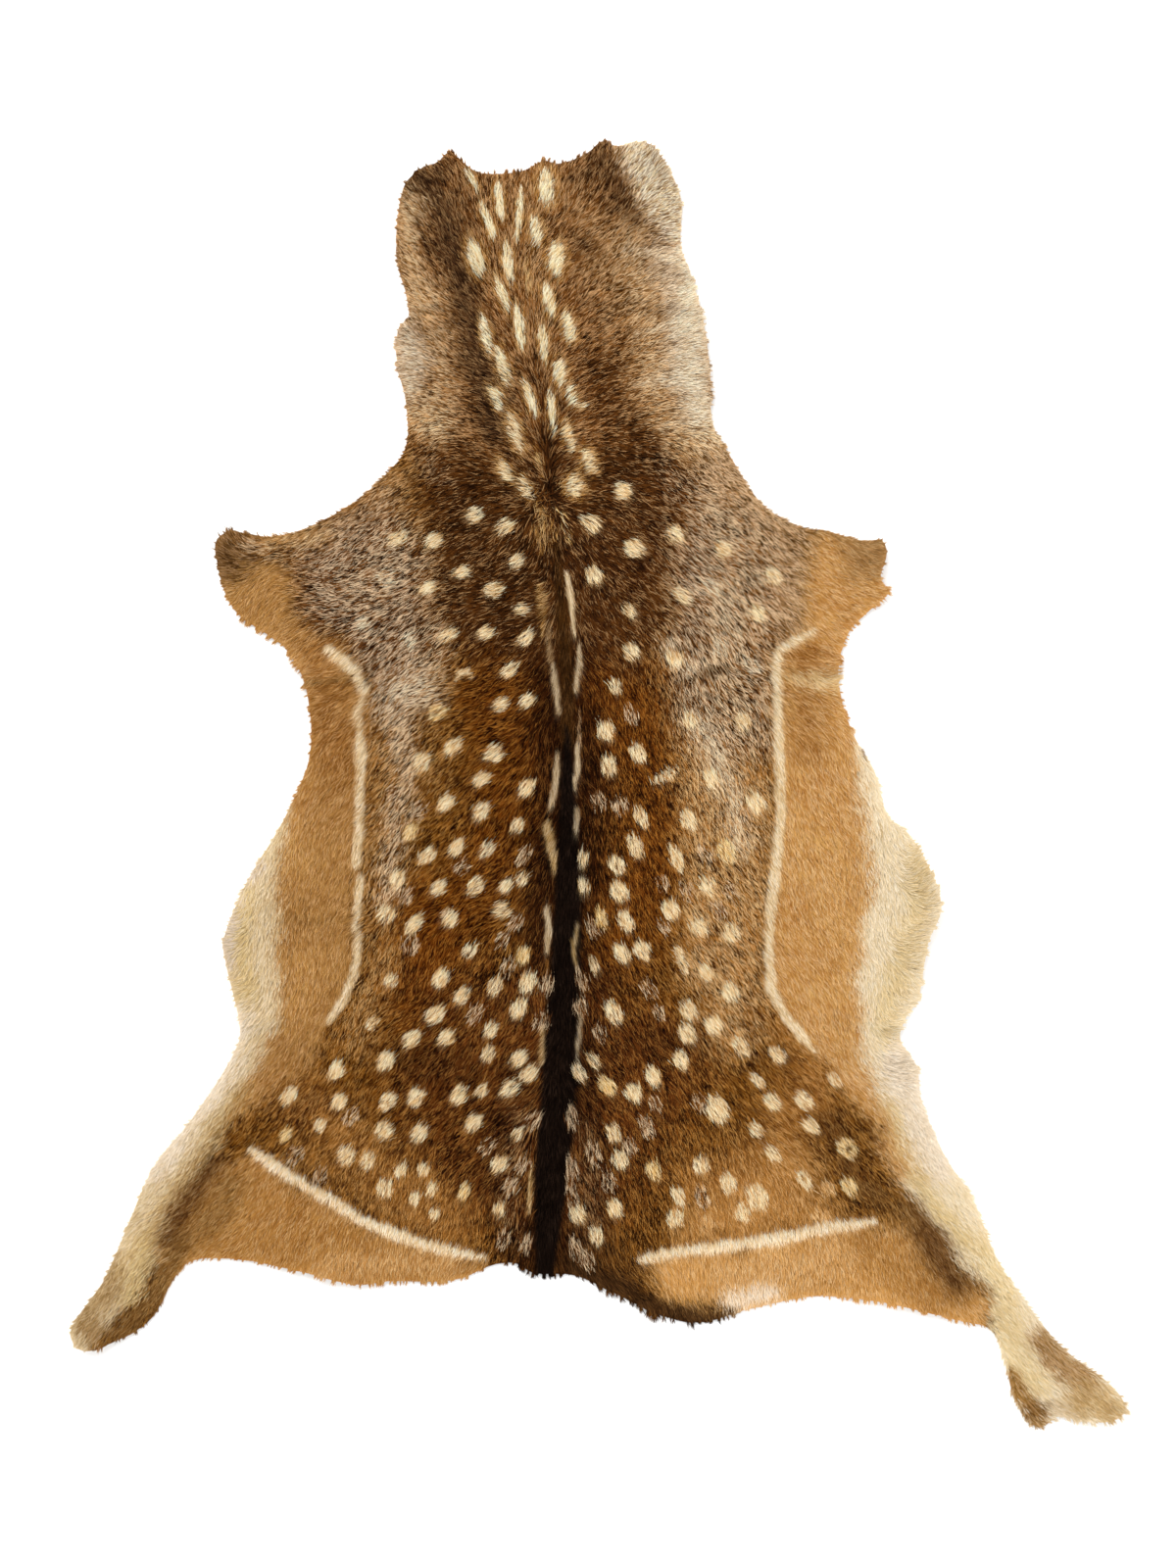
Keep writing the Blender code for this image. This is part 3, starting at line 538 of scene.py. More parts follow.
# Spots, in pixels of the photograph. Across and along are their widths, across the way the
# hair grows and along it. Clear says how much of the spot's hair is pale.
Spots = namedtuple("Spots", "name coat across along clear places")
SPOTS = [Spots(*row) for row in (
    ("left shoulder", "cream", 15, 17, 0.95,
     ((483, 526), (514, 539), (404, 551), (442, 553), (470, 585), (435, 601), (503, 603), (494, 646),
      (535, 652))),
    ("left shoulder, long", "cream", 13, 20, 0.90, ((457, 648),)),
    ("left shoulder, small", "cream", 12, 13, 0.85, ((526, 574), (530, 621))),
    ("left ribs", "cream", 15, 18, 0.95,
     ((519, 684), (510, 720), (537, 717), (462, 763), (503, 770), (430, 779), (491, 796), (537, 805),
      (454, 821), (490, 829), (465, 866), (496, 868), (435, 874), (405, 898), (446, 907), (485, 905))),
    ("left ribs, small", "cream", 12, 15, 0.85,
     ((447, 730), (527, 843), (532, 898), (515, 905), (479, 971))),
    ("shoulders, faint", "bright silver", 17, 19, 0.60,
     ((394, 590), (370, 637), (416, 656), (730, 600), (735, 664), (769, 680))),
    ("left ribs, ring", "orange cream", 17, 18, 0.85, ((446, 728),)),
    ("left ribs, ring's middle", "chestnut", 6, 7, 0.80, ((444, 727),)),
    ("left ribs, silvery", "faint silver", 16, 20, 0.70,
     ((404, 759), (402, 812), (427, 828), (533, 875), (469, 885), (412, 915), (524, 943), (511, 961),
      (419, 966), (518, 987), (557, 1007), (484, 1035), (553, 1044))),
    ("left ribs, orange", "orange cream", 13, 16, 0.9, ((418, 850), (534, 976))),
    ("left crease", "cream", 18, 14, 0.9, ((394, 934), (458, 938), (511, 929))),
    ("left loin", "cream", 15, 19, 0.95,
     ((422, 944), (449, 998), (470, 1017), (442, 1036), (419, 1061), (455, 1060), (393, 1083),
      (342, 1093), (539, 1096), (529, 1081), (529, 1030), (505, 1007), (538, 1004), (519, 1111))),
    ("left loin, small", "cream", 12, 14, 0.8,
     ((398, 1001), (379, 1044), (500, 1052), (497, 1077), (491, 1114))),
    ("left haunch", "cream", 16, 18, 0.95,
     ((294, 1119), (345, 1125), (395, 1124), (424, 1120), (467, 1118), (391, 1155), (427, 1157),
      (483, 1146), (352, 1180), (375, 1185), (392, 1214), (509, 1188))),
    ("left haunch, small", "cream", 11, 13, 0.95,
     ((326, 1149), (409, 1195), (432, 1195), (440, 1215), (423, 1224), (443, 1239), (509, 1235),
      (527, 1158))),
    ("left haunch, orange", "orange cream", 12, 15, 0.85, ((291, 1158), (473, 1216))),
    ("left haunch, silvery", "faint silver", 15, 20, 0.7,
     ((358, 1139), (543, 1144), (300, 1181), (326, 1202), (512, 1266), (536, 1271), (497, 1170),
      (520, 1212), (533, 1190))),
    ("right shoulder", "cream", 16, 18, 0.95,
     ((637, 502), (605, 536), (648, 560), (690, 546), (739, 562), (607, 589), (790, 589), (698, 609),
      (774, 627), (645, 667), (689, 673))),
    ("right shoulder, small", "cream", 12, 16, 0.85, ((644, 625), (628, 701))),
    ("right shoulder, silvery", "faint silver", 17, 20, 0.7, ((644, 732), (612, 821), (634, 824))),
    ("right ribs", "cream", 16, 19, 0.95,
     ((705, 736), (758, 737), (619, 747), (652, 770), (621, 783), (726, 796), (772, 821), (703, 838),
      (630, 884), (723, 906), (632, 911), (685, 930), (639, 941), (714, 947), (748, 953))),
    ("right ribs, bar", "cream", 30, 9, 0.7, ((680, 793),)),
    ("right ribs, long", "cream", 13, 24, 0.92, ((655, 835), (648, 865), (691, 877))),
    ("right ribs, orange", "orange cream", 15, 27, 0.95, ((742, 870),)),
    ("right ribs, small", "cream", 10, 16, 0.8,
     ((595, 878), (596, 906), (607, 986), (698, 986), (694, 974))),
    ("right ribs, silvery", "faint silver", 14, 20, 0.7,
     ((721, 875), (677, 903), (702, 911), (746, 911), (734, 931), (679, 947), (606, 949), (595, 1001),
      (663, 1010), (674, 1036), (593, 1030), (612, 1056))),
    ("right loin", "cream", 15, 20, 0.95,
     ((635, 974), (656, 971), (721, 993), (746, 1014), (627, 1034), (703, 1032), (702, 1056),
      (729, 1048), (757, 1069), (794, 1077), (695, 1083), (667, 1100), (647, 1116))),
    ("right loin, small", "cream", 12, 17, 0.8, ((607, 1084), (592, 1096), (774, 1104), (852, 1103))),
    ("right loin, orange", "orange cream", 14, 18, 0.85,
     ((614, 938), (620, 1109), (667, 1195), (868, 1212))),
    ("right knee, ring", "orange cream", 17, 19, 0.85, ((865, 1172),)),
    ("right knee, ring's middle", "leg dark", 6, 7, 0.80, ((866, 1173),)),
    ("right haunch, large", "cream", 22, 26, 0.95, ((731, 1133), (773, 1222))),
    ("right haunch", "cream", 15, 18, 0.95,
     ((789, 1125), (821, 1123), (626, 1158), (773, 1154), (828, 1150), (789, 1178), (633, 1184),
      (716, 1190), (743, 1208), (821, 1205), (693, 1221), (757, 1238), (627, 1234), (689, 1245),
      (609, 1262), (590, 1240))),
    ("right haunch, silvery", "faint silver", 14, 22, 0.8,
     ((670, 1129), (584, 1142), (660, 1152), (643, 1171), (606, 1179), (584, 1194), (622, 1207),
      (584, 1221), (717, 1223), (587, 1277), (600, 1289), (716, 1128))),
    ("right haunch, faint", "light tan", 18, 16, 0.6, ((836, 1242), (845, 1215), (721, 1250))),
)]

# The way the hair grows at places across and down the photograph. The heading is in degrees
# from straight towards the tail, and positive to the right; the length is in millimetres;
# places and reach are in pixels.
Flow = namedtuple("Flow", "across down heading length reach")
FLOWS = [Flow(*row) for _, rows in (
    ("end of the neck",
     ((512, 190, 180, 12, 34), (476, 188, -150, 11, 24), (458, 168, -140, 10, 14),
      (428, 190, -132, 9, 28), (406, 216, -105, 8, 20), (562, 190, 170, 11, 28),
      (596, 184, 150, 10, 22), (614, 156, 165, 9, 16), (640, 190, 148, 9, 20), (668, 160, 142, 9, 22),
      (690, 196, 112, 9, 26), (690, 250, 98, 9, 28))),
    ("upper neck",
     ((522, 240, 178, 12, 30), (480, 240, -147, 11, 24), (558, 250, 143, 11, 24),
      (450, 270, -140, 9, 26), (412, 268, -122, 8, 26), (602, 245, 130, 9, 32),
      (652, 272, 118, 9, 32))),
    ("middle of the neck",
     ((543, 330, 178, 12, 22), (505, 330, -142, 11, 24), (582, 330, 138, 10, 24),
      (470, 340, -118, 9, 26), (436, 320, -124, 8, 26), (412, 366, -93, 8, 24), (628, 330, 122, 9, 32),
      (682, 330, 114, 9, 30), (712, 360, 96, 9, 24))),
    ("lower neck",
     ((557, 420, 180, 12, 14), (520, 410, -130, 11, 22), (480, 410, -108, 9, 26),
      (440, 398, -106, 8, 26), (418, 432, -70, 8, 20), (596, 410, 122, 11, 24), (640, 400, 100, 9, 32),
      (704, 420, 86, 9, 26))),
    ("foot of the neck",
     ((540, 474, -128, 10, 15), (584, 474, 124, 10, 15), (500, 465, -100, 10, 22),
      (592, 470, 103, 10, 20), (430, 462, -50, 9, 24), (650, 460, 80, 9, 26), (718, 468, 50, 9, 26))),
    ("whorl",
     ((528, 504, -84, 13, 16), (592, 504, 88, 13, 16), (557, 536, 0, 15, 13), (524, 546, -43, 13, 16),
      (592, 546, 36, 13, 16))),
    ("left shoulder",
     ((485, 512, -68, 12, 28), (410, 500, -58, 11, 34), (350, 545, -60, 10, 32),
      (322, 592, -88, 11, 26), (385, 592, -72, 11, 26), (430, 630, -57, 12, 32),
      (390, 676, -46, 12, 26), (430, 702, -65, 12, 18), (480, 598, -75, 12, 24),
      (482, 642, -57, 12, 26), (547, 612, -80, 12, 12), (520, 600, -60, 12, 18),
      (556, 652, -40, 12, 12), (482, 722, -62, 12, 26), (395, 738, -44, 12, 26))),
    ("left foreleg",
     ((236, 552, -140, 11, 18), (236, 580, -100, 10, 16), (265, 618, -32, 11, 26),
      (300, 656, -48, 12, 24), (335, 696, -74, 12, 14), (336, 732, -52, 12, 24))),
    ("right shoulder",
     ((640, 530, 65, 12, 26), (700, 490, 58, 11, 32), (682, 580, 48, 12, 32), (780, 550, 50, 10, 34),
      (800, 610, 48, 11, 28), (736, 640, 38, 12, 28), (692, 680, 22, 12, 24), (752, 688, 62, 12, 12),
      (598, 600, 25, 12, 16), (622, 642, 38, 12, 24), (660, 722, 15, 12, 26), (745, 732, 32, 12, 26))),
    ("right foreleg",
     ((855, 590, 58, 11, 28), (896, 576, 78, 11, 18), (846, 648, 56, 12, 22), (848, 692, 90, 12, 10),
      (822, 726, 48, 12, 26))),
    ("spine",
     ((576, 640, 0, 14, 12), (579, 760, 0, 14, 16), (580, 880, 0, 15, 20), (575, 1010, 0, 16, 22),
      (564, 1150, 0, 18, 22), (556, 1280, 8, 22, 22))),
    ("left back and flank",
     ((335, 790, -27, 11, 36), (470, 780, -48, 12, 32), (400, 822, -36, 12, 32),
      (480, 862, -42, 12, 32), (542, 862, -28, 13, 22), (505, 926, -66, 12, 10),
      (440, 930, -66, 12, 10), (370, 936, -54, 12, 11), (320, 870, -16, 11, 38), (320, 985, -8, 11, 34),
      (330, 1042, -26, 11, 28), (415, 986, -22, 12, 24), (470, 1000, -33, 12, 28),
      (425, 1036, -44, 12, 26), (540, 990, -20, 13, 18), (545, 1050, -40, 13, 16))),
    ("left belly",
     ((270, 960, -8, 11, 20), (240, 950, -96, 10, 14), (242, 1012, -62, 11, 16),
      (254, 1062, -38, 11, 22))),
    ("left haunch",
     ((400, 1110, -38, 12, 38), (290, 1110, -35, 11, 34), (255, 1162, -40, 11, 24),
      (535, 1130, -52, 13, 20), (490, 1172, -42, 12, 28), (420, 1208, -14, 12, 28),
      (512, 1252, -10, 13, 28), (310, 1232, -24, 11, 38), (400, 1276, -4, 11, 34),
      (214, 1252, -48, 11, 28), (180, 1200, -42, 10, 28), (126, 1312, -37, 10, 30),
      (482, 1292, -22, 13, 18))),
    ("right back and flank",
     ((835, 800, 24, 12, 36), (700, 790, 24, 12, 32), (620, 800, 14, 12, 22), (756, 850, 30, 12, 32),
      (660, 882, 22, 12, 32), (835, 900, 22, 11, 38), (868, 880, 14, 11, 22), (690, 1010, 29, 12, 34),
      (610, 1000, 24, 12, 20), (760, 1000, 36, 12, 32), (840, 1002, 29, 11, 32), (897, 920, 12, 11, 18),
      (946, 890, 128, 11, 18), (934, 960, 100, 11, 16), (918, 1036, 92, 11, 16),
      (888, 1010, 8, 11, 20))),
    ("right haunch",
     ((800, 1132, 44, 12, 34), (610, 1100, 32, 13, 20), (650, 1172, 22, 12, 32),
      (732, 1200, 16, 12, 32), (860, 1182, 40, 11, 34), (926, 1086, 84, 10, 12),
      (936, 1150, 40, 10, 26), (800, 1290, 8, 11, 42), (900, 1290, 12, 11, 34), (966, 1262, 38, 11, 28),
      (1036, 1370, 42, 11, 28), (1100, 1422, 54, 12, 26), (622, 1242, 18, 13, 24),
      (632, 1306, 42, 16, 20), (696, 1336, 20, 15, 18))),
) for row in rows]

# The coat's layers, from the skin up. Hairs are so many over the whole hide, length is a
# share of the length that the flow gives, width is at the root, rise is the tip's height
# above the skin and spread is how far the hairs stray in direction, in degrees. Shade is
# painted light and shade: how light the layer is painted where the coat's contrast is
# full. The deeper it lies, the darker, for the shade that falls between the hairs, and
# the top layer is painted a little lighter than the coat.
Layer = namedtuple("Layer", "name hairs length width rise spread shade")
LAYERS = (
    Layer("undercoat", 150000, 0.85, 1.7, 1.7, 10, 0.62),
    Layer("lower_coat", 176000, 0.95, 1.5, 2.6, 11, 0.80),
    Layer("middle_coat", 186000, 1.00, 1.35, 3.5, 12, 0.98),
    Layer("upper_coat", 190000, 1.05, 1.15, 4.4, 13, 1.10),
)
EDGE_LAYER = Layer("edge_hair", 76000, 0.80, 0.9, 1.4, 8, 0.95)
MANE_LAYER = Layer("mane", 24000, 1.25, 1.0, 6.0, 10, 1.0)
MANE = ((-34, 181), (-28, 60), (-27, -90), (-31, -210), (-39, -320), (-48, -430))
MANE_HALF_WIDTH = 15.0
MANE_END = 1.001  # its roots stop so many turns short of its count of turns, just before the last
RIM_BAND = 12.0  # towards the rim the coat lies lower, over this much
RIM_RISE = 0.35  # and keeps this share of its rise at the rim itself

# Where the hair at the edge stands out in spikes, in pixels, and how far, in millimetres
Fringe = namedtuple("Fringe", "name place reach out")
FRINGES = (
    Fringe("end of the neck", (540, 174), 70, 4.4),
    Fringe("left spike of the neck", (460, 164), 14, 6.0),
    Fringe("right spike of the neck", (616, 150), 14, 3.0),
    Fringe("right lobe of the neck", (690, 180), 40, 3.0),
    Fringe("top of the left foreleg", (250, 545), 34, 10.0),
    Fringe("under the left foreleg", (276, 668), 60, 9.5),
    Fringe("left armpit", (312, 706), 36, 6.5),
    Fringe("tip of the right foreleg", (900, 606), 16, 10.5),
    Fringe("under the right foreleg", (862, 690), 30, 4.5),
    Fringe("right flap", (952, 950), 40, 3.0),
    Fringe("left belly", (240, 1042), 26, 2.0),
    Fringe("left foot", (125, 1368), 44, 8.5),
    Fringe("left of the rump", (390, 1304), 90, 4.4),
    Fringe("tail", (556, 1298), 34, 6.5),
    Fringe("rump", (662, 1326), 72, 12.0),
    Fringe("right of the rump", (860, 1330), 110, 5.2),
    Fringe("right foot", (1098, 1446), 56, 12.0),
)
EDGE_FUZZ = 2.7  # elsewhere the hair ends this far past the rim, give or take


def srgb(hexes):
    """Hex colours as rows of red, green and blue from 0 to 1, still in sRGB."""
    return np.array([[int(text[k:k + 2], 16) for k in (0, 2, 4)] for text in hexes]) / 255.0


def linear(colour):
    """sRGB to linear light: c / 12.92 below 0.04045, and ((c + 0.055) / 1.055) ^ 2.4 above."""
    colour = np.asarray(colour, float)
    return np.where(colour <= 0.04045, colour / 12.92, ((colour + 0.055) / 1.055) ** 2.4)


def on_hide(pixels):
    """Places of the photograph, in millimetres from the middle of the hide."""
    return (np.asarray(pixels, float) - MIDDLE_PIXEL) * (MM_PER_PIXEL, -MM_PER_PIXEL)


def smoothstep(value):
    """3t^2 - 2t^3, with t kept from 0 to 1."""
    t = np.clip(value, 0, 1)
    return t * t * (3 - 2 * t)


def patchy(points, size, seed):
    """Smooth noise from -1 to 1: random values on a square lattice of pitch size, blended
    between its corners with 3t^2 - 2t^3."""
    lattice = np.random.default_rng(seed).uniform(-1, 1, (LATTICE, LATTICE))
    cell = points / size
    low = np.floor(cell).astype(int)
    u, v = smoothstep(cell - low).T
    i, j = (low % LATTICE).T
    k, m = (i + 1) % LATTICE, (j + 1) % LATTICE
    return ((lattice[i, j] * (1 - u) + lattice[k, j] * u) * (1 - v)
            + (lattice[i, m] * (1 - u) + lattice[k, m] * u) * v)


def warped(points, amount, size, seed):
    """The points pushed about by two smooth noises, so that an edge read at them is uneven."""
    push = np.column_stack([patchy(points, size, seed), patchy(points, size, seed + 1)])
    return points + amount * push


def smooth_rim(step):
    """The rim as a closed curve through its turns, one point every step millimetres: between
    two turns it is a Catmull-Rom cubic whose speed follows the square root of the distance."""
    turns = np.array([turn for stretch in RIM for turn in stretch.turns], float)
    before, after, beyond = (np.roll(turns, shift, axis=0) for shift in (1, -1, -2))
    gap_in, gap, gap_out = (
        np.sqrt(np.linalg.norm(b - a, axis=1))[:, None]
        for a, b in ((before, turns), (turns, after), (after, beyond))
    )
    leave = (turns - before) / gap_in - (after - before) / (gap_in + gap) + (after - turns) / gap
    arrive = (after - turns) / gap - (beyond - turns) / (gap + gap_out) + (beyond - after) / gap_out
    t = np.linspace(0, 1, CURVE_POINTS, endpoint=False)[:, None, None]
    curve = (
        (2 * t**3 - 3 * t**2 + 1) * turns
        + (t**3 - 2 * t**2 + t) * gap * leave
        + (3 * t**2 - 2 * t**3) * after
        + (t**3 - t**2) * gap * arrive
    )
    dense = curve.transpose(1, 0, 2).reshape(-1, 2)
    closed = np.vstack([dense, dense[:1]])
    travelled = np.r_[0, np.cumsum(np.linalg.norm(np.diff(closed, axis=0), axis=1))]
    count = int(round(travelled[-1] / step))
    wanted = np.linspace(0, travelled[-1], count, endpoint=False)
    rim = np.column_stack([np.interp(wanted, travelled, closed[:, k]) for k in (0, 1)])
    return rim - (rim.min(axis=0) + rim.max(axis=0)) / 2


def distance_to_line(points, start, end):
    """Each point's distance from the straight line between two places."""
    along = np.subtract(end, start)
    share = np.clip((points - start) @ along / (along @ along), 0, 1)
    return np.linalg.norm(points - start - share[:, None] * along, axis=1)


def depth_inside(points, outline):
    """Each point's distance from a closed outline: positive inside it, where a ray towards
    +X crosses it an odd number of times, and negative outside."""
    nearest = np.full(len(points), np.inf)
    odd = np.zeros(len(points), bool)
    x, y = points.T
    for start, end in zip(outline, np.roll(outline, -1, axis=0), strict=True):
        nearest = np.minimum(nearest, distance_to_line(points, start, end))
        if start[1] != end[1]:
            spans = (start[1] > y) != (end[1] > y)
            crossing = start[0] + (y - start[1]) * (end[0] - start[0]) / (end[1] - start[1])
            odd ^= spans & (crossing > x)
    return np.where(odd, nearest, -nearest)


class Chart:
    """Fields kept on a square grid over the hide, and read anywhere between its corners."""

    def __init__(self, low, high, step):
        self.low = np.asarray(low, float)
        self.step = step
        self.shape = tuple(np.ceil((np.asarray(high) - low) / step).astype(int) + 1)
        across, along = np.meshgrid(*(np.arange(n) * step for n in self.shape), indexing="ij")
        self.points = np.column_stack([across.ravel(), along.ravel()]) + self.low
        self.fields = {}

    def keep(self, name, values):
        """Keeps a field of one or more values for each of the chart's points."""
        self.fields[name] = values.reshape(*self.shape, -1).astype(np.float32)

    def read(self, name, points):
        """The four corners' values, each weighted by the area opposite to it."""
        grid = self.fields[name]
        cell = (points - self.low) / self.step
        corner = np.clip(np.floor(cell).astype(int), 0, np.array(self.shape) - 2)
        u, v = np.clip(cell - corner, 0, 1).T[:, :, None]
        i, j = corner.T
        found = ((grid[i, j] * (1 - u) + grid[i + 1, j] * u) * (1 - v)
                 + (grid[i, j + 1] * (1 - u) + grid[i + 1, j + 1] * u) * v)
        return found[:, 0] if found.shape[1] == 1 else found


def height_of_skin(points, to_rim):
    """How far the flesh side stands off the ground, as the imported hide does: a ridge is
    h exp(-d^2/s^2), a crease is h (d/s)^2 exp(1 - d^2/s^2), and a curl fades with the square
    of the depth from the rim and exp(-run^2) along it."""
    height = np.zeros(len(points))
    for fold in FOLDS:
        off = (distance_to_line(points, fold.start, fold.end) / fold.spread) ** 2
        swell = np.exp(-off) if fold.kind == "ridge" else off * np.exp(1 - off)
        height = np.maximum(height, fold.height * swell)
    for curl in CURLS:
        run = np.linalg.norm(points - curl.place, axis=1) / curl.run
        lift = np.clip(1 - to_rim / curl.band, 0, 1) ** 2
        height = height + curl.height * lift * np.exp(-(run**2))
    return np.maximum(height - LIES_FLAT, 0.0)


def unit(vectors):
    """The vectors at length one."""
    return vectors / np.maximum(np.linalg.norm(vectors, axis=1), NO_LENGTH)[:, None]


def flow_of_hair(points):
    """The way the hair grows, as a direction of length one, and its length, as three columns:
    the table's rows, weighted by 1 / (1 + (distance / reach)^2)^3."""
    heading = np.radians([row.heading for row in FLOWS])
    growing = np.column_stack([np.sin(heading), -np.cos(heading), [row.length for row in FLOWS]])
    total = np.zeros((len(points), 3))
    weights = np.zeros(len(points))
    for row, values in zip(FLOWS, growing, strict=True):
        apart = points - on_hide((row.across, row.down))
        off = (apart**2).sum(axis=1) / (row.reach * MM_PER_PIXEL) ** 2
        weight = (1 + off) ** -3.0
        total += weight[:, None] * values
        weights += weight
    total /= weights[:, None]
    return np.column_stack([unit(total[:, :2]), total[:, 2]])


def wash_weight(wash, points):
    """How much of a wash lies on each point: full inside, fading over its edge."""
    path = on_hide(wash.path)
    if wash.width:
        off = np.min([distance_to_line(points, a, b) for a, b in zip(path, path[1:])], axis=0)
        depth = wash.width * MM_PER_PIXEL - off
    else:
        depth = depth_inside(points, path)
    return wash.strength * smoothstep(0.5 + depth / (wash.edge * MM_PER_PIXEL))


def line_weight(line, points):
    """How much of a line lies on each point. Its width runs evenly from turn to turn."""
    path = np.asarray(line.path, float)
    places, widths = on_hide(path[:, :2]), path[:, 2] * MM_PER_PIXEL
    depth = np.full(len(points), -np.inf)
    for a, b, wide_a, wide_b in zip(places, places[1:], widths, widths[1:]):
        along = b - a
        share = np.clip((points - a) @ along / (along @ along), 0, 1)
        off = np.linalg.norm(points - a - share[:, None] * along, axis=1)
        depth = np.maximum(depth, (wide_a + (wide_b - wide_a) * share) / 2 - off)
    return line.strength * smoothstep(0.5 + depth / (line.edge * MM_PER_PIXEL))


def palette():
    """Each coat as a row: its dark, light and tip colour, its share of tipped hairs and its
    contrast."""
    return {name: np.r_[srgb(coat[:3]).ravel(), coat[3:]] for name, coat in COATS.items()}


def washed(points):
    """The coat at each point from the washes alone, painted in their order."""
    look = palette()
    coat = np.tile(look["chestnut"], (len(points), 1))
    for wash in WASHES:
        weight = wash_weight(wash, points)[:, None]
        coat += weight * (look[wash.coat] - coat)
    return coat


def marks(chart):
    """The streaks and spots as (coat, start, end, half width, clear), in millimetres. Under a
    streak lies its wider and fainter edge. A spot is a short streak: its long side lies along
    the hair or across it."""
    found = []
    for halo, wide, share in (STREAK_EDGE, (None, 1.0, 1.0)):
        for row in STREAKS:
            start, end, half = on_hide(row.start), on_hide(row.end), row.width * MM_PER_PIXEL / 2
            pull = STREAK_PULL * half * (end - start) / np.linalg.norm(end - start)
            found.append((halo or row.coat, start + pull, end - pull, half * wide, row.clear * share))
    uneven = np.random.default_rng(SPOT_SEED)
    for group in SPOTS:
        for place in group.places:
            middle = on_hide(place)
            way = unit(chart.read("flow", middle[None])[:, :2])[0]
            along, across = uneven.uniform(*SPOT_SIZES, 2) * (group.along, group.across) * MM_PER_PIXEL
            side = way if along > across else np.array([way[1], -way[0]])
            reach = side * max(abs(along - across), SPOT_AXIS) / 2
            found.append((group.coat, middle - reach, middle + reach, min(along, across) / 2,
                          group.clear * uneven.uniform(*SPOT_CLEAR)))
    return found


def paint(chart, points, chance, stray):
    """The coat at each point: the washes, read a stray away, then the lines, then the
    streaks and spots, which are ovals. A hair whose chance, from 0 to 1, is below a mark's
    weight there has the mark's colour."""
    look = palette()
    uneven = points
    for turn, (amount, size) in enumerate(WANDER):
        uneven = warped(uneven, amount, size, WANDER_NOISE + 2 * turn)
    coat = chart.read("coat", uneven + stray).astype(float)
    ragged = warped(points, *RAGGED, RAGGED_NOISE)
    order = np.argsort(ragged[:, 1])
    rows = ragged[order, 1]

    def close(low, high):
        """The points in a box."""
        first, last = np.searchsorted(rows, (low[1], high[1]))
        near = order[first:last]
        return near[(ragged[near, 0] > low[0]) & (ragged[near, 0] < high[0])]

    for line in LINES:
        path = on_hide(np.asarray(line.path, float)[:, :2])
        near = close(path.min(axis=0) - LINE_REACH, path.max(axis=0) + LINE_REACH)
        weight = line_weight(line, ragged[near])[:, None]
        coat[near] += weight * (look[line.coat] - coat[near])
    for name, start, end, half, clear in marks(chart):
        reach = half * MARK_REACH
        near = close(np.minimum(start, end) - reach, np.maximum(start, end) + reach)
        along = (end - start) / np.linalg.norm(end - start)
        off = ragged[near] - (start + end) / 2
        far = np.hypot((off @ along) / (np.linalg.norm(end - start) / 2 + half),
                       (off @ (along[1], -along[0])) / half)
        pale = chance[near] < clear * smoothstep((MARK_END - far) / MARK_FADE)
        coat[near[pale]] = look[name]
    return coat


def jittered(low, high, count, area, rng):
    """About count points for the area inside, on a square grid, each moved by chance within
    its own square."""
    pitch = np.sqrt(area / count)
    across, along = np.meshgrid(np.arange(low[0], high[0], pitch), np.arange(low[1], high[1], pitch))
    grid = np.column_stack([across.ravel(), along.ravel()])
    return grid + rng.uniform(0, pitch, grid.shape)


def past_rim(points, rng):
    """How far the hair passes the rim that it crosses at each point: a little everywhere and
    more at the fringes, by out exp(-(distance / reach)^2). The tips make spikes, highest
    where a smooth noise passes zero."""
    stands = np.full(len(points), EDGE_FUZZ)
    for fringe in FRINGES:
        off = np.linalg.norm(points - on_hide(fringe.place), axis=1) / (fringe.reach * MM_PER_PIXEL)
        stands = np.maximum(stands, fringe.out * np.exp(-(off**2)))
    spike = np.clip(1 - np.abs(patchy(points, SPIKE, SPIKE_NOISE)) / SPIKE_BAND, 0, 1)
    mean, swing, least, most = SPIKE_SIZE
    size = np.clip(mean + swing * patchy(points, 3 * SPIKE, SPIKE_SIZE_NOISE), least, most)
    out = BETWEEN_SPIKES + SPIKE_OUT * spike**SPIKE_TAPER
    return stands * out * size * rng.uniform(*ENDS_VARY, len(points))


def field_roots(layer, chart, rng):
    """Roots all over the hide, the way they grow and their length. Where the hair grows out
    over the edge, its roots keep further in."""
    area = (chart.fields["depth"] > 0).sum() * chart.step**2
    points = jittered(chart.low, chart.points.max(axis=0), layer.hairs, area, rng)
    points = points[chart.read("depth", points) > SKIN_INSET]
    flow = chart.read("flow", points)
    way = unit(flow[:, :2])
    outward = np.clip((way * unit(chart.read("out", points))).sum(axis=1), 0, 1)
    rooted = chart.read("depth", points) > SKIN_INSET + SKIN_INSET_OUTWARD * outward
    return points[rooted], way[rooted], flow[rooted, 2]


def edge_roots(layer, chart, rng):
    """Roots in a narrow band inside the rim, by chance along it. They grow outwards as well
    as with the coat."""
    rim = smooth_rim(RIM_STEP)
    place = rng.uniform(0, len(rim), layer.hairs)
    start, share = np.floor(place).astype(int) % len(rim), (place % 1)[:, None]
    tangent = rim[(start + 1) % len(rim)] - rim[start]
    out = unit(np.column_stack([-tangent[:, 1], tangent[:, 0]]))
    edge = rim[start] + tangent * share
    nearest, band = EDGE_ROOTS
    points = edge - out * (SKIN_INSET + nearest + rng.uniform(0, band, layer.hairs))[:, None]
    flow = chart.read("flow", points)
    way = unit(flow[:, :2]) * EDGE_WAY[0] + out * EDGE_WAY[1]
    return points, unit(way), np.maximum(flow[:, 2], EDGE_LENGTH)


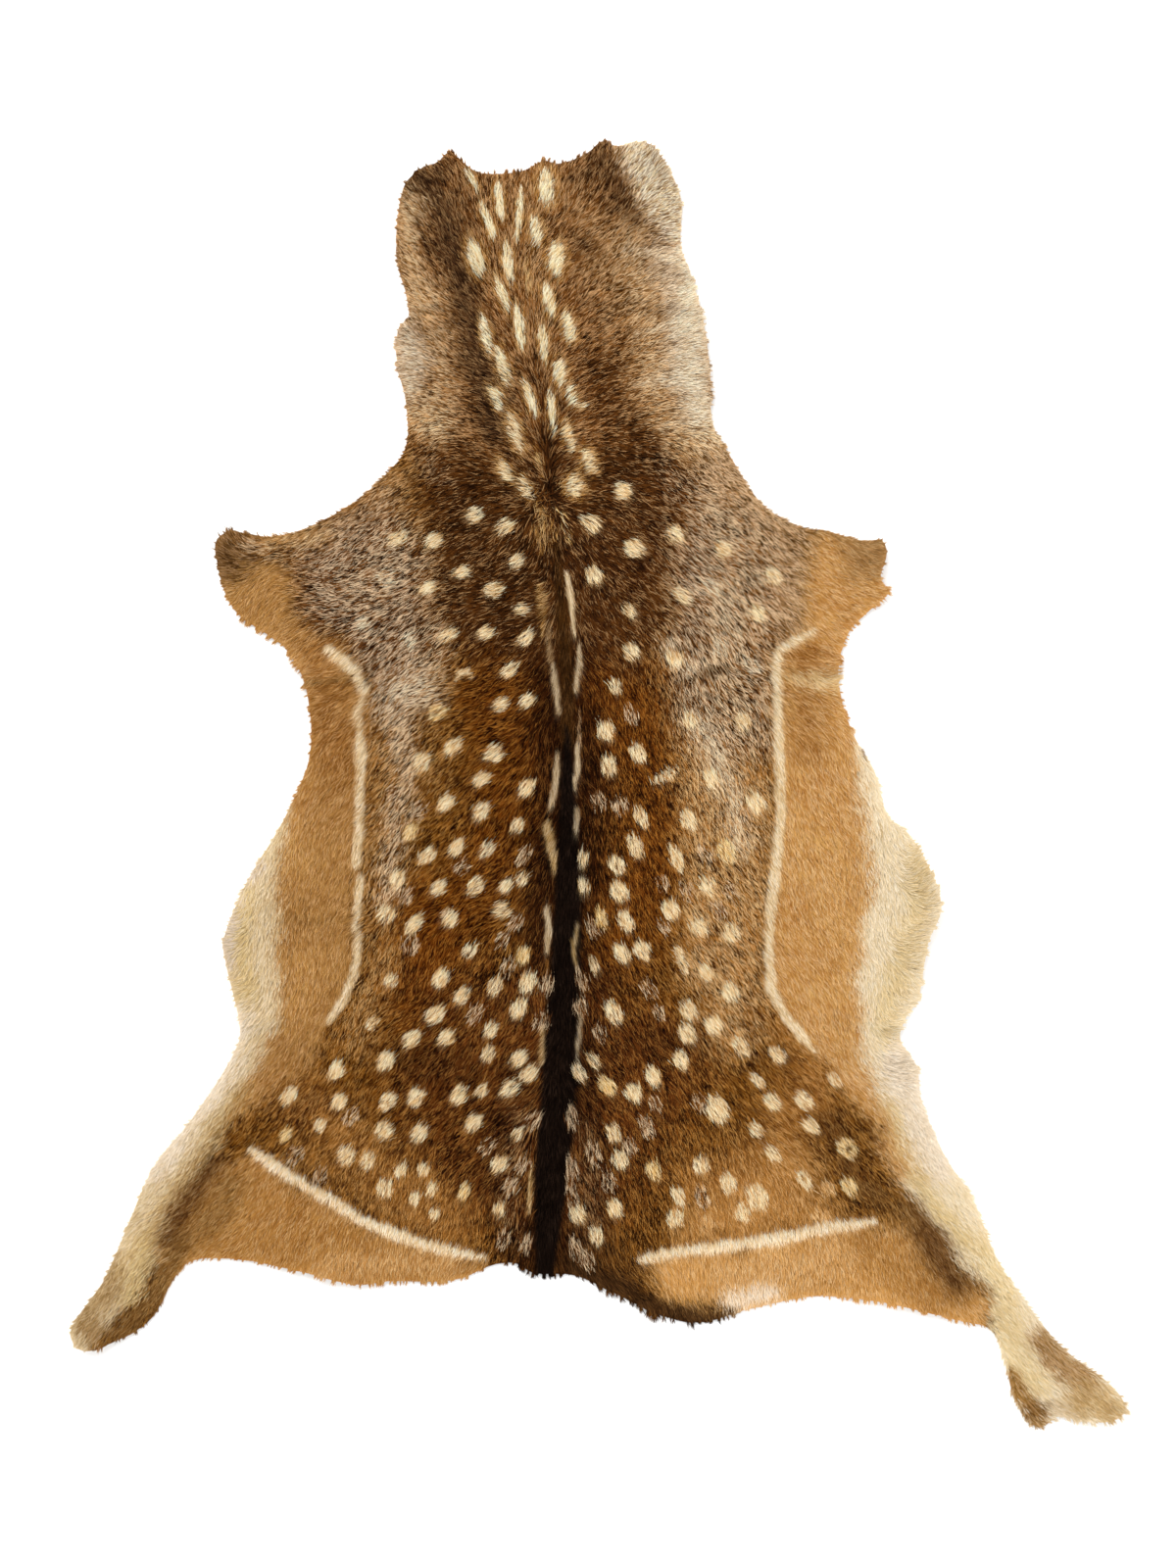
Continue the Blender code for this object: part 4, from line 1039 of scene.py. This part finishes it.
def mane_roots(layer, chart, rng):
    """Roots on either side of the mane's line, closest together at its middle."""
    turns = np.array(MANE, float)
    place = rng.uniform(0, len(turns) - MANE_END, layer.hairs)
    start, share = np.floor(place).astype(int), (place % 1)[:, None]
    points = turns[start] + (turns[start + 1] - turns[start]) * share
    points[:, 0] += rng.normal(0, MANE_HALF_WIDTH / 2, layer.hairs)
    points = points[chart.read("depth", points) > SKIN_INSET + SKIN_INSET_OUTWARD]
    flow = chart.read("flow", points)
    return points, unit(flow[:, :2]), flow[:, 2]


def turned(way, angle):
    """The directions turned by the angles."""
    return np.column_stack([
        way[:, 0] * np.cos(angle) - way[:, 1] * np.sin(angle),
        way[:, 0] * np.sin(angle) + way[:, 1] * np.cos(angle)])


def hairs(layer, roots, chart, rng):
    """Each hair is one long triangle, root + way * length away from a root of the layer's
    width to a point. The root stands in the skin and the tip on the layer's rise, which
    sinks towards the rim, so the coat follows the folds and rounds off at its edge. Hairs of
    one tuft turn and lift together."""
    points, way, length = roots
    count = len(points)
    clump = warped(points, *TUFT_DRIFT, TUFT_NOISE) / TUFT
    cell = np.floor(clump).astype(int)
    to_middle = (cell + 0.5 - clump) * TUFT
    row, column = (cell % TILE).T
    tuft = np.random.default_rng(TUFT_SEED).normal(size=(TILE, TILE, 3))[row, column]
    across = to_middle[:, 0] * way[:, 1] - to_middle[:, 1] * way[:, 0]
    place = np.floor(across / STRAND).astype(int) % STRANDS
    strand = np.random.default_rng(STRAND_SEED).uniform(size=(TILE, TILE, STRANDS, 2))[row, column, place]
    near_whorl = np.exp(-((points - on_hide(WHORL)) ** 2).sum(axis=1) / WHORL_REACH**2)
    spread = layer.spread + WHORL_SPREAD * near_whorl
    swirl, swirl_size = SWIRL
    turn = (rng.normal(0, 1, count) * spread + TUFT_TURN * tuft[:, 0]
            + swirl * patchy(points, swirl_size, SWIRL_NOISE))
    way = turned(way, np.radians(turn))
    length = length * layer.length * rng.uniform(*LENGTHS, count)

    tip = points + way * length[:, None]
    here, beyond = chart.read("depth", points), -chart.read("depth", tip)
    way = unit(tip + CLUMP * to_middle - points)
    whole = np.maximum(here + beyond, NO_WAY)
    share = np.clip(here / whole, 0, 1)
    allowed = past_rim(points + (tip - points) * share[:, None], rng)
    keep = np.where(beyond > allowed, (here + allowed) / whole, 1.0)
    tip = points + way * (length * np.clip(keep, LEAST_HAIR, 1))[:, None]

    half = (layer.width / 2) * rng.uniform(*WIDTHS, count)
    roll = np.radians(rng.normal(0, ROLL, count))
    swing = np.column_stack([-way[:, 1], way[:, 0]]) * (np.cos(roll) * half)[:, None]
    tilt = np.sin(roll) * half
    lift = 1 + LIFT * tuft[:, 1] + rng.normal(0, LIFT, count)
    near_rim = np.clip(chart.read("depth", tip) / RIM_BAND, 0, 1)
    rise = layer.rise * lift * (RIM_RISE + (1 - RIM_RISE) * near_rim)
    root_z = chart.read("height", points) + SKIN - BEDDED
    tip_z = chart.read("height", tip) + SKIN + np.maximum(rise, BEDDED)
    corners = np.stack([
        np.column_stack([points + swing, root_z + tilt]),
        np.column_stack([points - swing, root_z - tilt]),
        np.column_stack([tip, tip_z])], axis=1)
    corners[:, :, 2] = np.maximum(corners[:, :, 2], BEDDED)
    return corners, np.column_stack([tuft[:, 2], strand])


def hair_colours(layer, chart, corners, kin, rng):
    """The linear colours at a hair's two root corners and its tip. The coat is read at two
    places along the hair, and the shaft is a mix of the coat's dark and light, by chance,
    strand, tuft and patch. A tipped hair ends in the coat's tip colour. A coat of strong
    contrast has painted shade at the roots and in its deeper layers, for the shade that
    falls between the hairs."""
    root, tip = (corners[:, 0, :2] + corners[:, 1, :2]) / 2, corners[:, 2, :2]
    count = len(root)
    tuft, strand, tipping = kin.T
    chance, alone, own = rng.random((3, count))
    tipping = np.where(alone < STRAND_SHARE, tipping, own)
    (patch, patch_size), (broad, broad_size) = STRAY_PATCH, STRAY_BROAD
    stray = (rng.normal(0, STRAY_HAIR, count) + STRAY_STRAND * (strand - 0.5) + STRAY_TUFT * tuft
             + patch * patchy(root, patch_size, PATCH_NOISE))
    scatter = rng.normal(0, SCATTER, (count, 2))
    shades = []
    for share in READ_AT:
        coat = paint(chart, root + share * (tip - root), chance, scatter)
        dark, light, end, tipped, contrast = np.split(coat, (3, 6, 9, 10), axis=1)
        mix = 0.5 + contrast * stray[:, None] + broad * patchy(root, broad_size, BROAD_NOISE)[:, None]
        shaft = dark + np.clip(mix, 0, 1) * (light - dark)
        shading = np.clip(contrast / FULL_CONTRAST, 0, 1)
        shades.append((shaft, end, tipping[:, None] < tipped, shading))
    (low, _, _, shading), (high, end, ends, _) = shades
    # painted shade: the root corners are darkened by ROOT_SHADE as far as the coat's contrast goes
    at_root = linear(np.clip(low * (1 - (1 - ROOT_SHADE) * shading), 0, 1))
    at_tip = linear(np.clip(np.where(ends, end, high * TIP_LIGHT), 0, 1))
    # painted light and shade: each layer is darkened or lightened by its shade, as far as the coat's
    # contrast goes
    layer_shade = 1 + (layer.shade - 1) * shading
    return np.clip(np.stack([at_root, at_root, at_tip], axis=1) * layer_shade[:, None], 0, 1)


def bake_places(colours):
    """A square map for the hairs' colours: two hairs fill one cell from either side, and the
    cells run in rows from dark to light. A hair's corner lies near its cell's own corner, and
    the other two far along the cell's sides."""
    near, far = 0.05, 0.84
    count = len(colours)
    side = int(np.ceil(np.sqrt((count + 1) // 2)))
    rank = np.empty(count, int)
    rank[np.argsort(colours.sum(axis=(1, 2)))] = np.arange(count)
    cell = rank // 2
    corner = np.column_stack([cell % side, cell // side])[:, None, :]
    one = np.array([(near, near), (far, near), (near, far)])
    return (corner + np.where((rank % 2 == 0)[:, None, None], one, 1 - one)) / side


def new_object(name, vertices, faces):
    """A mesh at the origin, from arrays in millimetres."""
    mesh = bpy.data.meshes.new(name)
    mesh.vertices.add(len(vertices))
    mesh.vertices.foreach_set("co", (vertices * METRES_PER_MM).astype(np.float32).ravel())
    mesh.loops.add(faces.size)
    mesh.loops.foreach_set("vertex_index", faces.astype(np.int32).ravel())
    mesh.polygons.add(len(faces))
    mesh.polygons.foreach_set("loop_start", np.arange(0, faces.size, faces.shape[1], dtype=np.int32))
    mesh.update(calc_edges=True)
    mesh.validate()
    obj = bpy.data.objects.new(name, mesh)
    bpy.context.scene.collection.objects.link(obj)
    return obj


def set_colours(obj, colours):
    """Keeps one linear colour a vertex in the attribute that the materials read."""
    attribute = obj.data.color_attributes.new("coat_colour", "FLOAT_COLOR", "POINT")
    rows = np.ones((len(colours), 4), np.float32)
    rows[:, :3] = colours
    attribute.data.foreach_set("color", rows.ravel())


def set_bake_map(obj, places):
    """places holds one (u, v) for each vertex."""
    layer = obj.data.uv_layers.new(name="OFBake")
    corners = np.empty(len(obj.data.loops), np.int32)
    obj.data.loops.foreach_get("vertex_index", corners)
    layer.data.foreach_set("uv", places[corners].astype(np.float32).ravel())


def fur_piece(name, corners, colours, material):
    """One layer of hairs as a mesh of one triangle a hair."""
    obj = new_object(name, corners.reshape(-1, 3), np.arange(3 * len(corners)).reshape(-1, 3))
    set_colours(obj, colours.reshape(-1, 3))
    set_bake_map(obj, bake_places(colours).reshape(-1, 2))
    obj.data.materials.append(material)
    return obj


def averaged(places, reach):
    """A closed line's places, each averaged with so many on either side of it."""
    return np.mean([np.roll(places, shift, axis=0) for shift in range(-reach, reach + 1)], axis=0)


def skin_outline(chart):
    """The rim, averaged along itself and then drawn in: the cut edge of the skin is smoother
    than the ends of the hair, and lies under them."""
    smooth = averaged(smooth_rim(RIM_STEP), RIM_SMOOTHING)
    tangent = np.roll(smooth, -2, axis=0) - np.roll(smooth, 2, axis=0)
    inward = unit(np.column_stack([tangent[:, 1], -tangent[:, 0]]))
    way = unit(chart.read("flow", smooth)[:, :2])
    outward = np.clip(-(way * inward).sum(axis=1), 0, 1)
    return averaged(smooth + inward * (SKIN_INSET + SKIN_INSET_OUTWARD * outward)[:, None], 1)


def skin_sheet(chart):
    """The skin: a triangulated sheet inside its outline, its copy one thickness above, and a
    wall at the rim. Returns its vertices and faces, and how many of each one sheet has."""
    outline = skin_outline(chart)
    low, high = outline.min(axis=0), outline.max(axis=0)
    across, along = np.meshgrid(
        np.arange(low[0], high[0], SKIN_FIELD),
        np.arange(low[1], high[1], SKIN_FIELD * np.sqrt(3) / 2))
    across[1::2] += SKIN_FIELD / 2
    grid = np.column_stack([across.ravel(), along.ravel()])
    grid = grid[chart.read("depth", grid) > SKIN_INSET + SKIN_INSET_OUTWARD + FIELD_INSET]
    flat = np.vstack([outline, grid])
    sheet, _, faces, *_ = delaunay_2d_cdt(
        [Vector(p) for p in flat], [], [list(range(len(outline)))], 1, SAME_PLACE)
    points = np.array([tuple(p) for p in sheet])
    faces = np.array(faces)
    a, b, c = (points[faces[:, k]] for k in range(3))
    clockwise = np.cross(b - a, c - a) < 0
    faces[clockwise] = faces[clockwise][:, ::-1]
    under = chart.read("height", points)
    count = len(points)
    vertices = np.vstack([np.column_stack([points, under]), np.column_stack([points, under + SKIN])])
    sides = np.vstack([faces[:, [0, 1]], faces[:, [1, 2]], faces[:, [2, 0]]])
    key = sides[:, 0] * count + sides[:, 1]
    alone = ~np.isin(key, sides[:, 1] * count + sides[:, 0])
    p, q = sides[alone].T
    wall = np.vstack([np.column_stack([p, q, q + count]), np.column_stack([p, q + count, p + count])])
    return vertices, np.vstack([faces + count, faces[:, ::-1], wall]), count, len(faces)


def add_node(tree, kind, settings=None, **links):
    """A node of a material, with its settings and what its inputs are linked to or set to."""
    node = tree.nodes.new(kind)
    for key, value in (settings or {}).items():
        setattr(node, key, value)
    for key, value in links.items():
        socket = node.inputs[key.replace("_", " ")]
        if isinstance(value, bpy.types.NodeSocket):
            tree.links.new(value, socket)
        else:
            socket.default_value = value
    return node


def new_material(name):
    """An empty material and its tree."""
    material = bpy.data.materials.new(name)
    material.use_nodes = True
    material.node_tree.nodes.clear()
    return material, material.node_tree


def coat_material(name, **surface):
    """A material in the colours that the hairs and the skin's hair side keep."""
    material, tree = new_material(name)
    colour = add_node(tree, "ShaderNodeAttribute", {"attribute_name": "coat_colour"})
    shader = add_node(tree, "ShaderNodeBsdfPrincipled", Base_Color=colour.outputs["Color"], **surface)
    add_node(tree, "ShaderNodeOutputMaterial", Surface=shader.outputs["BSDF"])
    return material


def deer_hair():
    """Deer hair, tanned on the skin and combed flat. Each hair is hollow and waxy, so the coat
    is dull with a faint gloss along the hairs and no hard highlight."""
    return coat_material("deer_hair", Roughness=0.6, IOR=1.45, Specular_IOR_Level=0.015)


def painted_root_shade():
    """The hair side of the skin, seen only between hairs: the roots' colour with painted
    shade, for the shade that falls between the hairs, and no gloss."""
    return coat_material("painted_root_shade", Roughness=0.9, Specular_IOR_Level=0.0)


def per_metre(size):
    """The scale of a pattern whose marks are so many millimetres apart."""
    return 1 / (size * METRES_PER_MM)


def set_stops(ramp, *stops):
    """Puts a ramp's stops at their positions, in their hex colours."""
    for element, (position, colour) in zip(ramp.color_ramp.elements, stops, strict=True):
        element.position = position
        element.color = (*linear(srgb([colour])[0]), 1)


def suede():
    """Tanned deerskin, buffed on the flesh side: pale suede with a soft nap, faint blotches
    from the tanning and a fine uneven grain. The nap is drawn coarser than it is, 1.4 mm
    apart, so that it shows."""
    material, tree = new_material("tanned_suede")
    place = add_node(tree, "ShaderNodeTexCoord")
    blotches = add_node(tree, "ShaderNodeTexNoise", Vector=place.outputs["Object"],
                        Scale=per_metre(BLOTCH), Detail=4.0)
    nap = add_node(tree, "ShaderNodeTexNoise", Vector=place.outputs["Object"],
                   Scale=per_metre(NAP), Detail=3.0)
    ramp = add_node(tree, "ShaderNodeValToRGB", Fac=blotches.outputs["Fac"])
    set_stops(ramp, (0.32, "CDB48F"), (0.70, "E9DAC0"))
    bump = add_node(tree, "ShaderNodeBump", Height=nap.outputs["Fac"], Strength=0.35, Distance=0.0006)
    shader = add_node(tree, "ShaderNodeBsdfPrincipled", Base_Color=ramp.outputs["Color"], Roughness=0.92,
                      Specular_IOR_Level=0.2, Sheen_Weight=0.25, Normal=bump.outputs["Normal"])
    add_node(tree, "ShaderNodeOutputMaterial", Surface=shader.outputs["BSDF"])
    return material


def floor_material():
    """A studio floor of painted board, close to white, rolled a little unevenly."""
    material, tree = new_material("studio_floor")
    place = add_node(tree, "ShaderNodeTexCoord")
    grain = add_node(tree, "ShaderNodeTexNoise", Vector=place.outputs["Object"],
                     Scale=per_metre(FLOOR_GRAIN), Detail=2.0)
    ramp = add_node(tree, "ShaderNodeValToRGB", Fac=grain.outputs["Fac"])
    set_stops(ramp, (0.0, "FAFAF9"), (1.0, "FCFCFB"))
    shader = add_node(tree, "ShaderNodeBsdfPrincipled", Base_Color=ramp.outputs["Color"], Roughness=0.7)
    add_node(tree, "ShaderNodeOutputMaterial", Surface=shader.outputs["BSDF"])
    return material


def make_floor():
    """A square of floor, just under the hide."""
    square = FLOOR_HALF * np.array([(-1, -1), (1, -1), (1, 1), (-1, 1)])
    corners = np.column_stack([square, np.full(len(square), FLOOR_LEVEL)])
    floor = new_object("floor", corners, np.array([[0, 1, 2, 3]]))
    floor.data.materials.append(floor_material())


def soft_light(name, place, size, power, colour):
    """A square light that faces the middle of the hide, its size and place in metres and its
    power in watts."""
    light = bpy.data.lights.new(name, "AREA")
    light.size = size
    light.energy = power
    light.color = linear(srgb([colour])[0])
    lamp = bpy.data.objects.new(name, light)
    lamp.location = place
    lamp.rotation_euler = (-Vector(place)).to_track_quat("-Z", "Y").to_euler()
    bpy.context.scene.collection.objects.link(lamp)


def make_studio():
    """A pale room, a broad light from the head's side and a weaker one opposite. The colours
    are shown as they are, with no film look."""
    world = bpy.data.worlds.new("studio")
    bpy.context.scene.world = world
    world.use_nodes = True
    background = world.node_tree.nodes["Background"]
    background.inputs["Color"].default_value = (1, 1, 1, 1)
    background.inputs["Strength"].default_value = ROOM_LIGHT
    soft_light("key", place=(-1.2, 1.9, 2.3), size=2.4, power=106, colour="FFFDF8")
    soft_light("fill", place=(1.8, -1.2, 2.4), size=2.0, power=30, colour="F9FAFF")
    bpy.context.scene.view_settings.view_transform = "Standard"
    bpy.context.scene.view_settings.look = "None"


def make_camera():
    """The photograph's view: straight down, with the photograph's middle in the middle."""
    centre = on_hide(FRAME_MIDDLE) * METRES_PER_MM
    camera = bpy.data.cameras.new("camera")
    camera.lens = 100.0
    camera.sensor_width = 36.0
    camera.clip_end = 50.0
    eye = bpy.data.objects.new("camera", camera)
    eye.location = (*centre, CAMERA_HEIGHT)
    bpy.context.scene.collection.objects.link(eye)
    bpy.context.scene.camera = eye


def make_chart():
    """The chart of the hide, with what the hair reads off it."""
    rim = smooth_rim(2 * RIM_STEP)
    chart = Chart(rim.min(axis=0) - CHART_MARGIN, rim.max(axis=0) + CHART_MARGIN, CHART_STEP)
    depth = depth_inside(chart.points, rim)
    slope = np.gradient(depth.reshape(chart.shape), chart.step)
    chart.keep("depth", depth)
    chart.keep("out", -np.stack(slope, axis=-1))
    chart.keep("height", height_of_skin(chart.points, np.maximum(depth, 0)))
    chart.keep("flow", flow_of_hair(chart.points))
    chart.keep("coat", washed(chart.points))
    return chart


def make_hide():
    """The skin and the layers of its coat."""
    chart = make_chart()
    rng = np.random.default_rng(SEED)
    hair = deer_hair()
    coats = []
    layers = [(layer, field_roots) for layer in LAYERS]
    layers += [(EDGE_LAYER, edge_roots), (MANE_LAYER, mane_roots)]
    for layer, roots_of in layers:
        corners, kin = hairs(layer, roots_of(layer, chart, rng), chart, rng)
        colours = hair_colours(layer, chart, corners, kin, rng)
        coats.append(fur_piece(layer.name, corners, colours, hair))
    vertices, faces, count, tops = skin_sheet(chart)
    skin = new_object("tanned_skin", vertices, faces)
    skin.data.shade_smooth()
    coat = paint(chart, vertices[:count, :2], rng.random(count), np.zeros((count, 2)))
    # painted shade: the skin's hair side takes the coat's mean colour darkened by SKIN_SHADE
    colours = linear((coat[:, 0:3] + coat[:, 3:6]) / 2 * SKIN_SHADE)
    set_colours(skin, np.tile(colours, (2, 1)))
    for material in (painted_root_shade(), suede()):
        skin.data.materials.append(material)
    slots = np.ones(len(skin.data.polygons), np.int32)
    slots[:tops] = 0
    skin.data.polygons.foreach_set("material_index", slots)
    for piece in [skin, *coats]:
        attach(piece, "root")
    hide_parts("hide")


make_camera()
make_studio()
make_floor()
make_hide()
